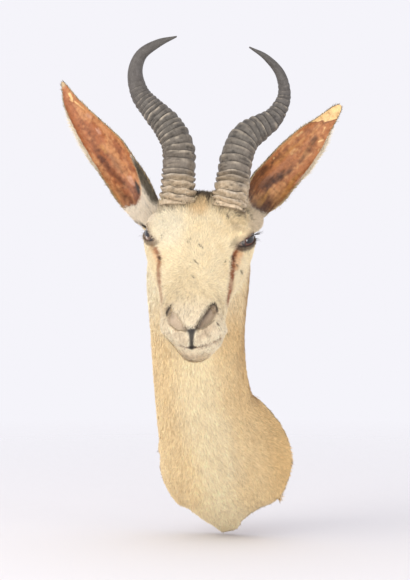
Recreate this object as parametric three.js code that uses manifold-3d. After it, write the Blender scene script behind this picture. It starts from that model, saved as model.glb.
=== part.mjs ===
// A springbok head-and-neck mount that hangs on a wall: haired skin over a solid form, real horns,
// lined ears, glass eyes and a flat wooden back board.
// Millimetres, +Z up. The wall is the plane Y = 0, and the animal stands out of it along -Y with
// its head turned towards its own left, +X. Left and right are the animal's own.
import * as THREE from "three";
import { mergeVertices } from "three/addons/utils/BufferGeometryUtils.js";
import Module from "manifold-3d";

const wasm = await Module();
wasm.setup();
const weld = 1e-4; // corners closer than this are one

// Board and fit
const boardThickness = 12;
const boardInset = 4; // the skin's rim stands this far past the board's edge
const clearance = 0.3; // between a piece that is set in and its socket

// Head pose
const headTurn = THREE.MathUtils.degToRad(19); // to the animal's left
const headRoll = THREE.MathUtils.degToRad(4); // its left ear is the lower one
const faceSlope = THREE.MathUtils.degToRad(-41); // the head's axis points down towards the nose
const headPlace = new THREE.Vector3(25, -164, 280); // middle of the skull, between the horns

// Neck: sections from the wall to the skull. forward is the distance from the wall, pitch tips the
// section from upright, half is its half width, top and bottom are its half depths towards the nape
// and the throat, and tip is how far the brisket's point hangs past the section's own curve.
const neckSides = 32;
const neckRings = 20;
const brisketSpread = 0.3;
const rimForward = boardThickness + clearance;
const neckStations = [
  { x: 0, forward: rimForward, z: 0, pitch: 0, turn: 0, half: 90, top: 79, bottom: 78, tip: 21 },
  { x: 0, forward: 30, z: 8, pitch: 12, turn: 0, half: 80, top: 78, bottom: 79, tip: 16 },
  { x: -1, forward: 54, z: 30, pitch: 30, turn: 0, half: 66, top: 75, bottom: 80, tip: 6 },
  { x: -2, forward: 78, z: 70, pitch: 47, turn: 3, half: 58, top: 72, bottom: 74, tip: 1 },
  { x: 0, forward: 100, z: 118, pitch: 56, turn: 8, half: 56, top: 70, bottom: 70, tip: 0 },
  { x: 6, forward: 122, z: 170, pitch: 60, turn: 13, half: 57, top: 68, bottom: 66, tip: 0 },
  { x: 13, forward: 140, z: 222, pitch: 62, turn: 17, half: 61.5, top: 62, bottom: 60, tip: 0 },
  { x: 18.5, forward: 150, z: 256, pitch: 62, turn: 19, half: 60, top: 56, bottom: 46, tip: 0 },
  { x: 22, forward: 158, z: 284, pitch: 62, turn: 19, half: 48, top: 46, bottom: 32, tip: 0 },
  { x: 24, forward: 164, z: 302, pitch: 62, turn: 19, half: 30, top: 29, bottom: 18, tip: 0 },
];

// Head: sections along its axis from the back of the skull to the nose. narrow draws the section
// in towards the bridge of the nose, and jaw towards the chin.
const headSides = 32;
const headRings = 24;
const sectionPower = 0.76; // under 1 makes the section squarer than an ellipse
const drawPower = 1.5; // how late the section draws in on its way up or down
const headStations = [
  { along: -46, half: 30, top: 22, bottom: 30, narrow: 0, jaw: 0 },
  { along: -34, half: 45, top: 38, bottom: 46, narrow: 0, jaw: 0 },
  { along: -12, half: 53, top: 48, bottom: 55, narrow: 0.08, jaw: 0 },
  { along: 14, half: 58, top: 48, bottom: 57, narrow: 0.12, jaw: 0 },
  { along: 40, half: 58, top: 45, bottom: 54, narrow: 0.16, jaw: 0 },
  { along: 66, half: 51.5, top: 41, bottom: 47, narrow: 0.26, jaw: 0 },
  { along: 94, half: 43.5, top: 37, bottom: 41, narrow: 0.28, jaw: 0.04 },
  { along: 122, half: 38.5, top: 33, bottom: 35, narrow: 0.22, jaw: 0.1 },
  { along: 148, half: 37, top: 30, bottom: 34, narrow: 0.12, jaw: 0.3 },
  { along: 168, half: 34.5, top: 26, bottom: 36, narrow: 0.08, jaw: 0.54 },
  { along: 182, half: 27.5, top: 18, bottom: 30, narrow: 0.05, jaw: 0.58 },
  { along: 189, half: 13, top: 7, bottom: 15, narrow: 0, jaw: 0.4 },
];

// Brow and cheekbone: how far the head swells about the eyes, and its reach along and up the section
const brow = { swell: 13, along: 36, long: 26, height: 0.5, high: 0.5 };

// Horns: each one's own centre line in the head's frame, with its half width across the head.
const hornSides = 11;
const hornRings = 16;
const stepsPerRing = 3;
const plainSteps = 10;
const ringedShare = 0.62; // of the horn's length that carries rings
const ringHeight = 0.075; // of the horn's half width
const ringFade = 0.55; // how much lower the last ring is than the first
const ridgePower = 1.4; // over 1 makes the ridges narrower than the grooves
const hornDepth = 1.2; // front to back over side to side, at the base
const hornLine = {
  left: [
    { side: 29.5, forward: 18, up: 30, half: 21.5 },
    { side: 33, forward: 14, up: 58, half: 19.8 },
    { side: 36.5, forward: 5, up: 93, half: 18.9 },
    { side: 44, forward: -2, up: 115, half: 18 },
    { side: 59, forward: -9, up: 128.5, half: 15.6 },
    { side: 76, forward: -15, up: 143, half: 12 },
    { side: 87, forward: -19, up: 169, half: 8 },
    { side: 81, forward: -15, up: 194, half: 5.9 },
    { side: 63, forward: -7, up: 212, half: 3.8 },
    { side: 42, forward: 3, up: 222, half: 0.9 },
  ],
  right: [
    { side: 28.5, forward: 18, up: 30, half: 21.5 },
    { side: 30, forward: 14, up: 60, half: 19.6 },
    { side: 33, forward: 4, up: 99, half: 18.7 },
    { side: 47, forward: -4, up: 123, half: 17.2 },
    { side: 66.5, forward: -12, up: 142, half: 14.2 },
    { side: 83, forward: -17, up: 160, half: 11.4 },
    { side: 91, forward: -20, up: 186, half: 8.8 },
    { side: 85, forward: -15, up: 206, half: 7 },
    { side: 66, forward: -6, up: 220, half: 4.8 },
    { side: 44, forward: 4, up: 228.5, half: 0.9 },
  ],
};

// Ears: a cupped leaf, from its root in the skull to its tip. The right one grows lower and longer.
const earSteps = 14;
const earArc = 8; // points across the cup
const earHalfAngle = THREE.MathUtils.degToRad(68);
const earRoot = { forward: -14, left: { side: 48, up: 22.5 }, right: { side: 53, up: 5 } };
const earLean = { left: 37, right: 37.5 }; // degrees outwards from upright
const earBack = THREE.MathUtils.degToRad(10); // leaning back
const earOpen = THREE.MathUtils.degToRad(12); // the cup looks this far outwards
const earLength = { left: 182, right: 213 };
const earBreadth = { left: 1, right: 0.97 }; // of the widths below
const earTip = { left: 9, right: 3 }; // the left one's tip is worn off blunt
const earStations = [
  { width: 30, cup: 14, hollow: 0, wall: 6 },
  { width: 41, cup: 18, hollow: 0.1, wall: 6 },
  { width: 49.5, cup: 19, hollow: 0.75, wall: 5 },
  { width: 50.5, cup: 17, hollow: 1, wall: 4.5 },
  { width: 49.5, cup: 13, hollow: 1, wall: 4 },
  { width: 43, cup: 10, hollow: 1, wall: 4 },
  { width: 32.5, cup: 7, hollow: 1, wall: 3.6 },
  { width: 19.5, cup: 4, hollow: 0.9, wall: 3 },
];
const earButt = { up: 12, back: 12, radii: [20, 14, 30] }; // the haired skin about an ear's root

// Eyes and lids, in the head's frame
const eyeRadius = 16.5;
const eyeDepth = 13; // of the glass cap
const eyeSteps = 5; // from its rim to its top
const eyeSides = 14;
const eyePlace = { side: 47, forward: 46, up: -5 };
const eyeGaze = { side: 0.84, forward: 0.5, up: 0.12 };
const lidRadius = 14;
const lidTube = 4;
const lidSides = [7, 16]; // about the tube and along it
const lidSquash = 0.74; // the slit is lower than it is long
const lidForward = 9; // from the eye's middle
const orbitRadii = [23, 18, 10]; // the flesh that backs the lids

// Nostrils: from beside the philtrum out to the wing, as places beside, along and above the head's axis
const ballSides = [14, 9]; // of a rounded mass or pit, about it and from top to bottom
const nostril = { inner: [5, 188, 16], outer: [29, 156, 27], radius: 7 };

const material = {
  skin: new THREE.MeshStandardMaterial({ color: 0xe2c99a, roughness: 0.9 }),
  horn: new THREE.MeshStandardMaterial({ color: 0x6a625a, roughness: 0.55 }),
  ear: new THREE.MeshStandardMaterial({ color: 0x9a5a30, roughness: 0.7 }),
  glass: new THREE.MeshStandardMaterial({ color: 0x1c120d, roughness: 0.05 }),
  wood: new THREE.MeshStandardMaterial({ color: 0xa9824f, roughness: 0.8 }),
};

// Values at t, from 0 at the first station to 1 at the last, on a smooth curve through them.
function between(stations, t) {
  const span = stations.length - 1;
  const k = Math.min(Math.floor(t * span), span - 1);
  const u = t * span - k;
  const [p, a, b, n] = [k - 1, k, k + 1, k + 2].map((i) => stations[THREE.MathUtils.clamp(i, 0, span)]);
  const made = {};
  for (const key of Object.keys(a)) {
    const inSlope = (b[key] - p[key]) / 2;
    const outSlope = (n[key] - a[key]) / 2;
    const rise = b[key] - a[key];
    made[key] = a[key] + u * inSlope + u * u * (3 * rise - 2 * inSlope - outSlope)
      + u * u * u * (inSlope + outSlope - 2 * rise);
  }
  return made;
}

// The triangles that close a ring of points, seen with the ring running counter-clockwise.
function capOf(ring) {
  const middle = ring.reduce((sum, p) => sum.add(p), new THREE.Vector3()).divideScalar(ring.length);
  const normal = new THREE.Vector3();
  ring.forEach((p, i) => {
    const next = ring[(i + 1) % ring.length];
    normal.add(p.clone().sub(middle).cross(next.clone().sub(middle)));
  });
  const across = ring[0].clone().sub(middle).projectOnPlane(normal.normalize()).normalize();
  const other = normal.clone().cross(across);
  const flat = ring.map((p) => {
    const arm = p.clone().sub(middle);
    return new THREE.Vector2(arm.dot(across), arm.dot(other));
  });
  return THREE.ShapeUtils.triangulateShape(flat, []);
}

// A closed surface through rings that run counter-clockwise about the way they follow each other.
function loft(rings) {
  const sides = rings[0].length;
  const index = [];
  for (let k = 0; k + 1 < rings.length; k++)
    for (let i = 0; i < sides; i++) {
      const a = k * sides + i;
      const b = k * sides + ((i + 1) % sides);
      index.push(a, b, b + sides, a, b + sides, a + sides);
    }
  const last = (rings.length - 1) * sides;
  for (const [a, b, c] of capOf(rings[0])) index.push(a, c, b);
  for (const [a, b, c] of capOf(rings.at(-1))) index.push(last + a, last + b, last + c);
  return new THREE.BufferGeometry().setFromPoints(rings.flat()).setIndex(index);
}

// Boolean work: a closed geometry as a solid, and a solid as a geometry.
function solid(geometry, matrix = new THREE.Matrix4()) {
  const bare = new THREE.BufferGeometry().setIndex(geometry.index);
  bare.setAttribute("position", geometry.getAttribute("position").clone());
  const merged = mergeVertices(bare.applyMatrix4(matrix), weld);
  const corners = merged.index.array;
  const triVerts = [];
  for (let i = 0; i < corners.length; i += 3) {
    const [a, b, c] = corners.slice(i, i + 3);
    if (a !== b && b !== c && c !== a) triVerts.push(a, b, c);
  }
  return new wasm.Manifold(new wasm.Mesh({
    numProp: 3,
    vertProperties: merged.getAttribute("position").array,
    triVerts: new Uint32Array(triVerts),
  }));
}

function geometryOf(made) {
  const mesh = made.getMesh();
  const geometry = new THREE.BufferGeometry();
  geometry.setAttribute("position", new THREE.BufferAttribute(new Float32Array(mesh.vertProperties), 3));
  geometry.setIndex(new THREE.BufferAttribute(new Uint32Array(mesh.triVerts), 1));
  return geometry;
}

function piece(name, geometry, finish) {
  const mesh = new THREE.Mesh(geometry, finish);
  mesh.name = name;
  return mesh;
}

// A section's plane: right runs across the animal, dorsal towards its nape.
function sectionPlane(turn, pitch) {
  const ahead = new THREE.Vector3(Math.sin(turn), -Math.cos(turn), 0);
  const right = new THREE.Vector3(Math.cos(turn), Math.sin(turn), 0);
  const dorsal = ahead.clone().multiplyScalar(-Math.sin(pitch)).add(new THREE.Vector3(0, 0, Math.cos(pitch)));
  const along = right.clone().cross(dorsal);
  return { right, dorsal, along };
}

function turnsOf(count) {
  return Array.from({ length: count }, (_, i) => (i / count) * 2 * Math.PI);
}

// The base's outline, also the neck's section: an ellipse with a point at the brisket.
function neckOutline(angle, s) {
  const height = Math.sin(angle);
  const point = height < 0 ? s.tip * Math.exp(-((Math.cos(angle) / brisketSpread) ** 2)) : 0;
  return new THREE.Vector2(s.half * Math.cos(angle), height * (height < 0 ? s.bottom : s.top) - point);
}

function neckGeometry() {
  const rings = [];
  for (let k = 0; k <= neckRings; k++) {
    const s = between(neckStations, k / neckRings);
    const plane = sectionPlane(THREE.MathUtils.degToRad(s.turn), THREE.MathUtils.degToRad(s.pitch));
    const middle = new THREE.Vector3(s.x, -s.forward, s.z);
    rings.push(turnsOf(neckSides).map((angle) => {
      const at = neckOutline(angle, s);
      return middle.clone().addScaledVector(plane.right, at.x).addScaledVector(plane.dorsal, at.y);
    }));
  }
  return loft(rings);
}

const headPlane = sectionPlane(0, faceSlope);

// A point of the head's frame from its place along, above and beside the head's axis.
function onHead(side, along, above) {
  return new THREE.Vector3().addScaledVector(headPlane.right, side)
    .addScaledVector(headPlane.along, along).addScaledVector(headPlane.dorsal, above);
}

function headGeometry() {
  const power = (value) => Math.sign(value) * Math.abs(value) ** sectionPower;
  const rings = [];
  for (let k = 0; k <= headRings; k++) {
    const s = between(headStations, k / headRings);
    rings.push(turnsOf(headSides).map((angle) => {
      const height = power(Math.sin(angle));
      const draw = (height < 0 ? s.jaw : s.narrow) * Math.abs(height) ** drawPower;
      const reach = ((s.along - brow.along) / brow.long) ** 2 + ((height - brow.height) / brow.high) ** 2;
      const half = s.half + brow.swell * Math.exp(-reach);
      const side = half * power(Math.cos(angle)) * (1 - draw);
      return onHead(side, s.along, height * (height < 0 ? s.bottom : s.top));
    }));
  }
  return loft(rings);
}

// The horn's half width swells into a ridge over each ring, more towards the base.
function ringSwell(share) {
  if (share > ringedShare) return 0;
  const phase = (share / ringedShare) * hornRings;
  const fade = 1 - ringFade * (share / ringedShare);
  return ringHeight * fade * Math.sin(Math.PI * (phase - Math.floor(phase))) ** ridgePower;
}

function hornGeometry(side, grow = 0) {
  const sign = side === "left" ? 1 : -1;
  const line = new THREE.CatmullRomCurve3(hornLine[side].map((p) =>
    new THREE.Vector3(sign * p.side, -p.forward, p.up)));
  const ringed = hornRings * stepsPerRing;
  const shares = [];
  for (let i = 0; i < ringed; i++) shares.push((i / ringed) * ringedShare);
  for (let i = 0; i <= plainSteps; i++) shares.push(ringedShare + (i / plainSteps) * (1 - ringedShare));
  const rings = shares.map((share) => {
    const t = line.getUtoTmapping(share);
    const along = line.getTangent(t);
    const middle = line.getPoint(t).addScaledVector(along, share === 0 ? -grow : 0);
    const across = new THREE.Vector3(1, 0, 0).projectOnPlane(along).normalize();
    const back = along.clone().cross(across);
    const half = between(hornLine[side], t).half * (1 + ringSwell(share)) + grow;
    const depth = 1 + (hornDepth - 1) * (1 - share);
    return turnsOf(hornSides).map((angle) => middle.clone()
      .addScaledVector(across, half * Math.cos(angle))
      .addScaledVector(back, half * depth * Math.sin(angle)));
  });
  return loft(rings);
}

// An ear's own frame in the head: Z runs to its tip and the cup looks along -Y.
function earFrame(side) {
  const sign = side === "left" ? 1 : -1;
  const lean = THREE.MathUtils.degToRad(earLean[side]);
  return new THREE.Matrix4()
    .makeRotationFromEuler(new THREE.Euler(-earBack, sign * lean, sign * earOpen, "YXZ"))
    .setPosition(sign * earRoot[side].side, -earRoot.forward, earRoot[side].up);
}

// One ear: an outer arc and an inner arc at each step, from the root to the tip. A filled ear has no
// hollow, so it clears the skin from the whole cup.
function earGeometry(side, grow = 0, filled = false) {
  const frame = earFrame(side);
  const stations = [...earStations, { width: earTip[side], cup: 1.5, hollow: 0.5, wall: 2 }];
  const rings = [];
  for (let k = 0; k <= earSteps; k++) {
    const t = k / earSteps;
    const s = between(stations, t);
    const up = t * earLength[side] - (k === 0 ? grow : 0);
    const ring = [];
    for (let i = 0; i < 2 * earArc; i++) {
      const outer = i < earArc;
      const share = (outer ? i : 2 * earArc - 1 - i) / (earArc - 1);
      const angle = (2 * share - 1) * earHalfAngle;
      const half = s.width * earBreadth[side] / 2 + grow;
      const across = half * Math.sin(angle) / Math.sin(earHalfAngle);
      const bowl = (Math.cos(angle) - Math.cos(earHalfAngle)) / (1 - Math.cos(earHalfAngle));
      const hollow = filled ? 0 : s.hollow;
      const skin = s.wall / 2 + grow;
      const back = outer ? s.cup * bowl + skin : s.cup * bowl * hollow - skin;
      ring.push(new THREE.Vector3(across, back, up).applyMatrix4(frame));
    }
    rings.push(ring.reverse());
  }
  return loft(rings);
}

// A turned frame whose Z looks along the gaze of one eye.
function gazeOf(side) {
  const sign = side === "left" ? 1 : -1;
  const look = new THREE.Vector3(sign * eyeGaze.side, -eyeGaze.forward, eyeGaze.up).normalize();
  const place = new THREE.Vector3(sign * eyePlace.side, -eyePlace.forward, eyePlace.up);
  const turn = new THREE.Quaternion().setFromRotationMatrix(
    new THREE.Matrix4().lookAt(look, new THREE.Vector3(), new THREE.Vector3(0, 0, 1)));
  return new THREE.Matrix4().compose(place, turn, new THREE.Vector3(1, 1, 1));
}

function eyeGeometry(grow = 0) {
  const radius = eyeRadius + grow;
  const rim = Math.acos((eyeRadius - eyeDepth) / eyeRadius);
  const back = radius * Math.cos(rim) - grow;
  const profile = [new THREE.Vector2(0, back)];
  for (let i = 0; i <= eyeSteps; i++) {
    const angle = rim * (1 - i / eyeSteps);
    profile.push(new THREE.Vector2(radius * Math.sin(angle), i ? radius * Math.cos(angle) : back));
  }
  profile.at(-1).x = 0;
  return new THREE.LatheGeometry(profile, eyeSides).rotateX(Math.PI / 2);
}

function lidGeometry() {
  return new THREE.TorusGeometry(lidRadius, lidTube, ...lidSides).scale(1, lidSquash, 1)
    .translate(0, 0, lidForward);
}

function ellipsoid(radii, matrix) {
  return new THREE.SphereGeometry(1, ...ballSides).scale(...radii).applyMatrix4(matrix);
}

// A long pit from beside the philtrum up and out to the wing of the nose.
function nostrilCutter(sign) {
  const inner = onHead(sign * nostril.inner[0], ...nostril.inner.slice(1));
  const outer = onHead(sign * nostril.outer[0], ...nostril.outer.slice(1));
  const length = inner.distanceTo(outer);
  const turn = new THREE.Quaternion().setFromUnitVectors(
    new THREE.Vector3(0, 1, 0), outer.clone().sub(inner).divideScalar(length));
  const place = new THREE.Matrix4().compose(inner.lerp(outer, 0.5), turn, new THREE.Vector3(1, 1, 1));
  return solid(ellipsoid([nostril.radius, length / 2, nostril.radius], place));
}

const head = new THREE.Group();
head.position.copy(headPlace);
head.rotation.set(0, headRoll, headTurn, "ZYX");
head.updateMatrix();

const sides = ["left", "right"];

function skinGeometry() {
  let face = solid(headGeometry());
  for (const sign of [1, -1]) face = face.subtract(nostrilCutter(sign));
  for (const side of sides) {
    const butt = earFrame(side).multiply(new THREE.Matrix4().makeTranslation(0, earButt.back, earButt.up));
    face = face.add(solid(ellipsoid(earButt.radii, butt)));
    face = face.add(solid(ellipsoid(orbitRadii, gazeOf(side))));
    face = face.add(solid(lidGeometry(), gazeOf(side)));
  }
  let skin = solid(neckGeometry()).add(face.transform(head.matrix.elements));
  for (const side of sides) {
    skin = skin.subtract(solid(eyeGeometry(clearance).applyMatrix4(gazeOf(side)), head.matrix));
    skin = skin.subtract(solid(hornGeometry(side, clearance), head.matrix));
    skin = skin.subtract(solid(earGeometry(side, clearance, true), head.matrix));
  }
  return geometryOf(skin);
}

function boardGeometry() {
  const base = neckStations[0];
  const outline = turnsOf(neckSides).map((angle) => {
    const at = neckOutline(angle, base);
    return at.multiplyScalar(1 - boardInset / at.length());
  });
  return new THREE.ExtrudeGeometry(new THREE.Shape(outline), { depth: boardThickness, bevelEnabled: false })
    .rotateX(Math.PI / 2);
}

const mount = new THREE.Group();
mount.add(piece("back_board", boardGeometry(), material.wood));
mount.add(piece("head_and_neck", skinGeometry(), material.skin));
for (const side of sides) {
  head.add(piece(`${side}_horn`, hornGeometry(side), material.horn));
  head.add(piece(`${side}_ear`, earGeometry(side), material.ear));
  head.add(piece(`${side}_eye`, eyeGeometry().applyMatrix4(gazeOf(side)), material.glass));
}
mount.add(head);

export default mount;
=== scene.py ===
import math

import bmesh
import bpy
import numpy as np
from mathutils import Matrix, Vector, kdtree


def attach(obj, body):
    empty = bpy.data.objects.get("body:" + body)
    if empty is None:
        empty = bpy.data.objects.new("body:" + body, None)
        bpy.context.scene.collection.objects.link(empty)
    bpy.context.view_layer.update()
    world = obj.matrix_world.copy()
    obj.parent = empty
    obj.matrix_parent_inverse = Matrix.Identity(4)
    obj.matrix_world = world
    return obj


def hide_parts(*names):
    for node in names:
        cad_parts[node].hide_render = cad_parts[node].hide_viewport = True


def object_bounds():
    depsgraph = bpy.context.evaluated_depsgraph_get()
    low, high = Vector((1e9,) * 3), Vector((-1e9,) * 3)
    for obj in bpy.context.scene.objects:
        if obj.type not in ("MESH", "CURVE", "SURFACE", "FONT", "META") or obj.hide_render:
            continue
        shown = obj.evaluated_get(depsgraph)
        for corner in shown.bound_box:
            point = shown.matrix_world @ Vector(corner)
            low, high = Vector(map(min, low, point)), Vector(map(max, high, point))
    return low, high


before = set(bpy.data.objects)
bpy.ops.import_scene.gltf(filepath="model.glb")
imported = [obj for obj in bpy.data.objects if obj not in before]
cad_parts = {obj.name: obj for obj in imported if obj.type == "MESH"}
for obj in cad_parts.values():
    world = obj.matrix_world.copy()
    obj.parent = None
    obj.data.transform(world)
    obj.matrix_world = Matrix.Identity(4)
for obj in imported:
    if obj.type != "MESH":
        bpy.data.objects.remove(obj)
cadLow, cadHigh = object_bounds()
print("frame loaded:", ", ".join(sorted(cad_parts)))

mm = 0.001
rng = np.random.default_rng(4117)
sides = {"left": 1, "right": -1}  # the animal's own sides


# small helpers

def tint(code):  # a paint code as linear light
    parts = [int(code[i:i + 2], 16) / 255 for i in (1, 3, 5)]
    return np.array([c / 12.92 if c <= 0.04045 else ((c + 0.055) / 1.055) ** 2.4 for c in parts])


def ease(value, low, high):  # 0 below low, 1 above high
    share = np.clip((value - low) / (high - low), 0, 1)
    return share * share * (3 - 2 * share)


def unit(vectors):
    return vectors / np.maximum(np.linalg.norm(vectors, axis=-1, keepdims=True), 1e-9)


def mix(a, b, share):
    share = np.asarray(share)[..., None]
    return a * (1 - share) + b * share


def lumps(points, size, seed):  # smooth noise from -1 to 1, its lumps about size across
    spot = points / size
    cell = np.floor(spot).astype(np.int64)
    part = spot - cell
    part = part * part * (3 - 2 * part)
    total = np.zeros(len(points))
    for corner in range(8):
        bits = np.array([corner & 1, corner >> 1 & 1, corner >> 2 & 1])
        at = cell + bits
        key = at[:, 0] * 73856093 ^ at[:, 1] * 19349663 ^ at[:, 2] * 83492791 ^ seed * 40503
        key = (key ^ (key >> 13)) * 1274126177 & 0x7fffffff
        key = (key ^ (key >> 11)) * 461845907 & 0x7fffffff
        total += np.prod(np.where(bits, part, 1 - part), axis=1) * (key / 0x3fffffff - 1)
    return total


def cubic(start, end, slopeIn, slopeOut, u):  # smooth run from start to end, u from 0 to 1
    rise = end - start
    bend = 3 * rise - 2 * slopeIn - slopeOut
    twist = slopeIn + slopeOut - 2 * rise
    return start + u * slopeIn + u ** 2 * bend + u ** 3 * twist


def between(rows, t):  # smooth curve through evenly spaced rows of values
    rows = np.asarray(rows, float)
    span = len(rows) - 1
    k = np.minimum(np.floor(t * span).astype(int), span - 1)
    u = (t * span - k)[:, None]
    p, a, b, n = (rows[np.clip(k + i, 0, span)] for i in (-1, 0, 1, 2))
    return cubic(a, b, (b - p) / 2, (n - a) / 2, u)


def newPiece(name, points, loops, starts, material, slot, nodes=(), smooth=True):
    mesh = bpy.data.meshes.new(name)
    mesh.vertices.add(len(points))
    mesh.vertices.foreach_set("co", (points * mm).astype(np.float32).ravel())
    mesh.loops.add(len(loops))
    mesh.polygons.add(len(starts))
    mesh.polygons.foreach_set("loop_start", np.asarray(starts, np.int32))
    mesh.loops.foreach_set("vertex_index", np.asarray(loops, np.int32))
    mesh.polygons.foreach_set("use_smooth", np.full(len(starts), smooth))
    mesh.update(calc_edges=True)
    mesh.materials.append(material)
    piece = bpy.data.objects.new(name, mesh)
    bpy.context.scene.collection.objects.link(piece)
    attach(piece, "root")
    if nodes:
        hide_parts(*nodes)
    return piece


def paintPoints(mesh, name, colours):
    layer = mesh.color_attributes.new(name, "FLOAT_COLOR", "POINT")
    full = np.ones((len(colours), 4), np.float32)
    full[:, :3] = np.clip(colours, 0, 1)
    layer.data.foreach_set("color", full.ravel())


def markPoints(mesh, name, values):
    layer = mesh.attributes.new(name, "FLOAT", "POINT")
    layer.data.foreach_set("value", np.asarray(values, np.float32))


def tubeLoops(rings, around):  # quads of a skin of closed rings
    k, i = np.meshgrid(np.arange(rings - 1), np.arange(around), indexing="ij")
    a = k * around + i
    b = k * around + (i + 1) % around
    return np.stack([a, b, b + around, a + around], -1).reshape(-1, 4)


# loops of a tube with flat ends and where each face starts; turned, its faces look the other way
def closedTube(rings, around, turned=False):
    quads = tubeLoops(rings, around)
    first = np.arange(around)
    last = first + (rings - 1) * around
    ends = (first[::-1], last)
    if turned:
        quads = quads[:, ::-1]
        ends = (first, last[::-1])
    starts = np.append(np.arange(len(quads) + 1) * 4, len(quads) * 4 + around)
    return np.concatenate([quads.ravel(), *ends]), starts


class Finish:  # one node material, with short words for its nodes
    def __init__(self, name):
        self.made = bpy.data.materials.new(name)
        self.made.use_nodes = True
        self.tree = self.made.node_tree
        self.shader = self.tree.nodes["Principled BSDF"]

    def node(self, kind, **values):
        node = self.tree.nodes.new("ShaderNode" + kind)
        for key, value in values.items():
            if hasattr(node, key):
                setattr(node, key, value)
            else:
                node.inputs[key.replace("_", " ")].default_value = value
        return node

    def join(self, source, target):
        self.tree.links.new(source, target)

    def feed(self, source, name):  # into an input of the shader
        self.join(source, self.shader.inputs[name])

    def fix(self, name, value):  # a plain value of the shader
        self.shader.inputs[name].default_value = value

    def spot(self, scale):  # place on the piece, stretched per axis
        place = self.node("TexCoord")
        stretch = self.node("Mapping")
        stretch.inputs["Scale"].default_value = scale
        self.join(place.outputs["Object"], stretch.inputs["Vector"])
        return stretch.outputs["Vector"]

    def noise(self, where, scale, detail=4.0, rough=0.55):
        made = self.node("TexNoise", Scale=scale, Detail=detail, Roughness=rough)
        self.join(where, made.inputs["Vector"])
        return made.outputs["Fac"]

    def ramp(self, value, stops):
        made = self.node("ValToRGB")
        band = made.color_ramp
        while len(band.elements) < len(stops):
            band.elements.new(0.5)
        for element, (at, colour) in zip(band.elements, stops):
            element.position = at
            element.color = (*colour, 1) if len(np.shape(colour)) else (colour, colour, colour, 1)
        self.join(value, made.inputs["Fac"])
        return made.outputs["Color"]

    def times(self, a, b, share=1.0):
        made = self.node("Mix", data_type="RGBA", blend_type="MULTIPLY")
        made.inputs[0].default_value = share
        self.join(a, made.inputs[6])
        self.join(b, made.inputs[7])
        return made.outputs[2]

    def layer(self, name):
        return self.node("Attribute", attribute_name=name)

    def bump(self, height, distance, strength, under=None):
        made = self.node("Bump", Strength=strength, Distance=distance)
        self.join(height, made.inputs["Height"])
        if under is not None:
            self.join(under, made.inputs["Normal"])
        return made.outputs["Normal"]


# camera and studio

view = {
    "azimuth": 20.0, "elevation": 1.5, "fovHigh": 18.2, "away": 2300.0,  # degrees, mm from the wall's centre
    "frameWide": 410, "frameHigh": 580, "wallAt": (226.5, 455.0),  # photo pixels
    "sensor": 36.0, "clip": (0.05, 50.0),  # mm, metres
}


def cameraAxes():
    a = math.radians(view["azimuth"])
    e = math.radians(view["elevation"])
    right = np.array([math.cos(a), math.sin(a), 0])
    back = np.array([math.sin(a) * math.cos(e), -math.cos(a) * math.cos(e), math.sin(e)])
    return right, np.cross(back, right), back


viewRight, viewUp, viewBack = cameraAxes()
focalPixels = view["frameHigh"] / 2 / math.tan(math.radians(view["fovHigh"] / 2))
centreShift = np.array([view["frameWide"] / 2 - view["wallAt"][0], view["wallAt"][1] - view["frameHigh"] / 2])
eyePoint = (viewRight * centreShift[0] + viewUp * centreShift[1]) * view["away"] / focalPixels
eyePoint = eyePoint + viewBack * view["away"]


def seenAt(points):  # photo pixels of points in mm
    arm = points - eyePoint
    depth = -(arm @ viewBack)
    return np.stack([view["frameWide"] / 2 + arm @ viewRight / depth * focalPixels,
                     view["frameHigh"] / 2 - arm @ viewUp / depth * focalPixels], -1)


camera = bpy.data.objects.new("camera", bpy.data.cameras.new("camera"))
camera.data.sensor_width = view["sensor"]  # along the picture's long side
camera.data.lens = view["sensor"] / 2 / math.tan(math.radians(view["fovHigh"] / 2))
camera.data.clip_start, camera.data.clip_end = view["clip"]
camera.location = Vector(eyePoint * mm)
camera.rotation_mode = "QUATERNION"
camera.rotation_quaternion = Vector(-viewBack).to_track_quat("-Z", "Y")
bpy.context.scene.collection.objects.link(camera)
bpy.context.scene.camera = camera

studio = {
    "backdrop": "#F5F4FA", "backdropStrength": 1.0,
    "floor": "#E9E7E8", "floorRough": 0.9, "floorFade": 0.75, "floorSides": 64,
    "floorReach": 1.6, "floorRim": 1.02, "floorAhead": 0.1, "floorGap": 0.0008,  # metres, the rim as a share
    "key": {"from": (-1.2, -1.9, 1.0), "size": 2.1, "power": 34.0, "warmth": (1.0, 0.965, 0.91)},
    "fill": {"from": (1.35, -1.9, -0.35), "size": 1.9, "power": 23.0, "warmth": (1.0, 0.98, 0.96)},
    "sparkLeft": {"from": (1.99, -0.62, 0.17), "size": 0.5, "power": 5.0, "warmth": (1.0, 1.0, 1.0)},
    "sparkRight": {"from": (-1.96, 0.04, -0.3), "size": 0.55, "power": 2.6, "warmth": (1.0, 1.0, 1.0)},
}


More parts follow.
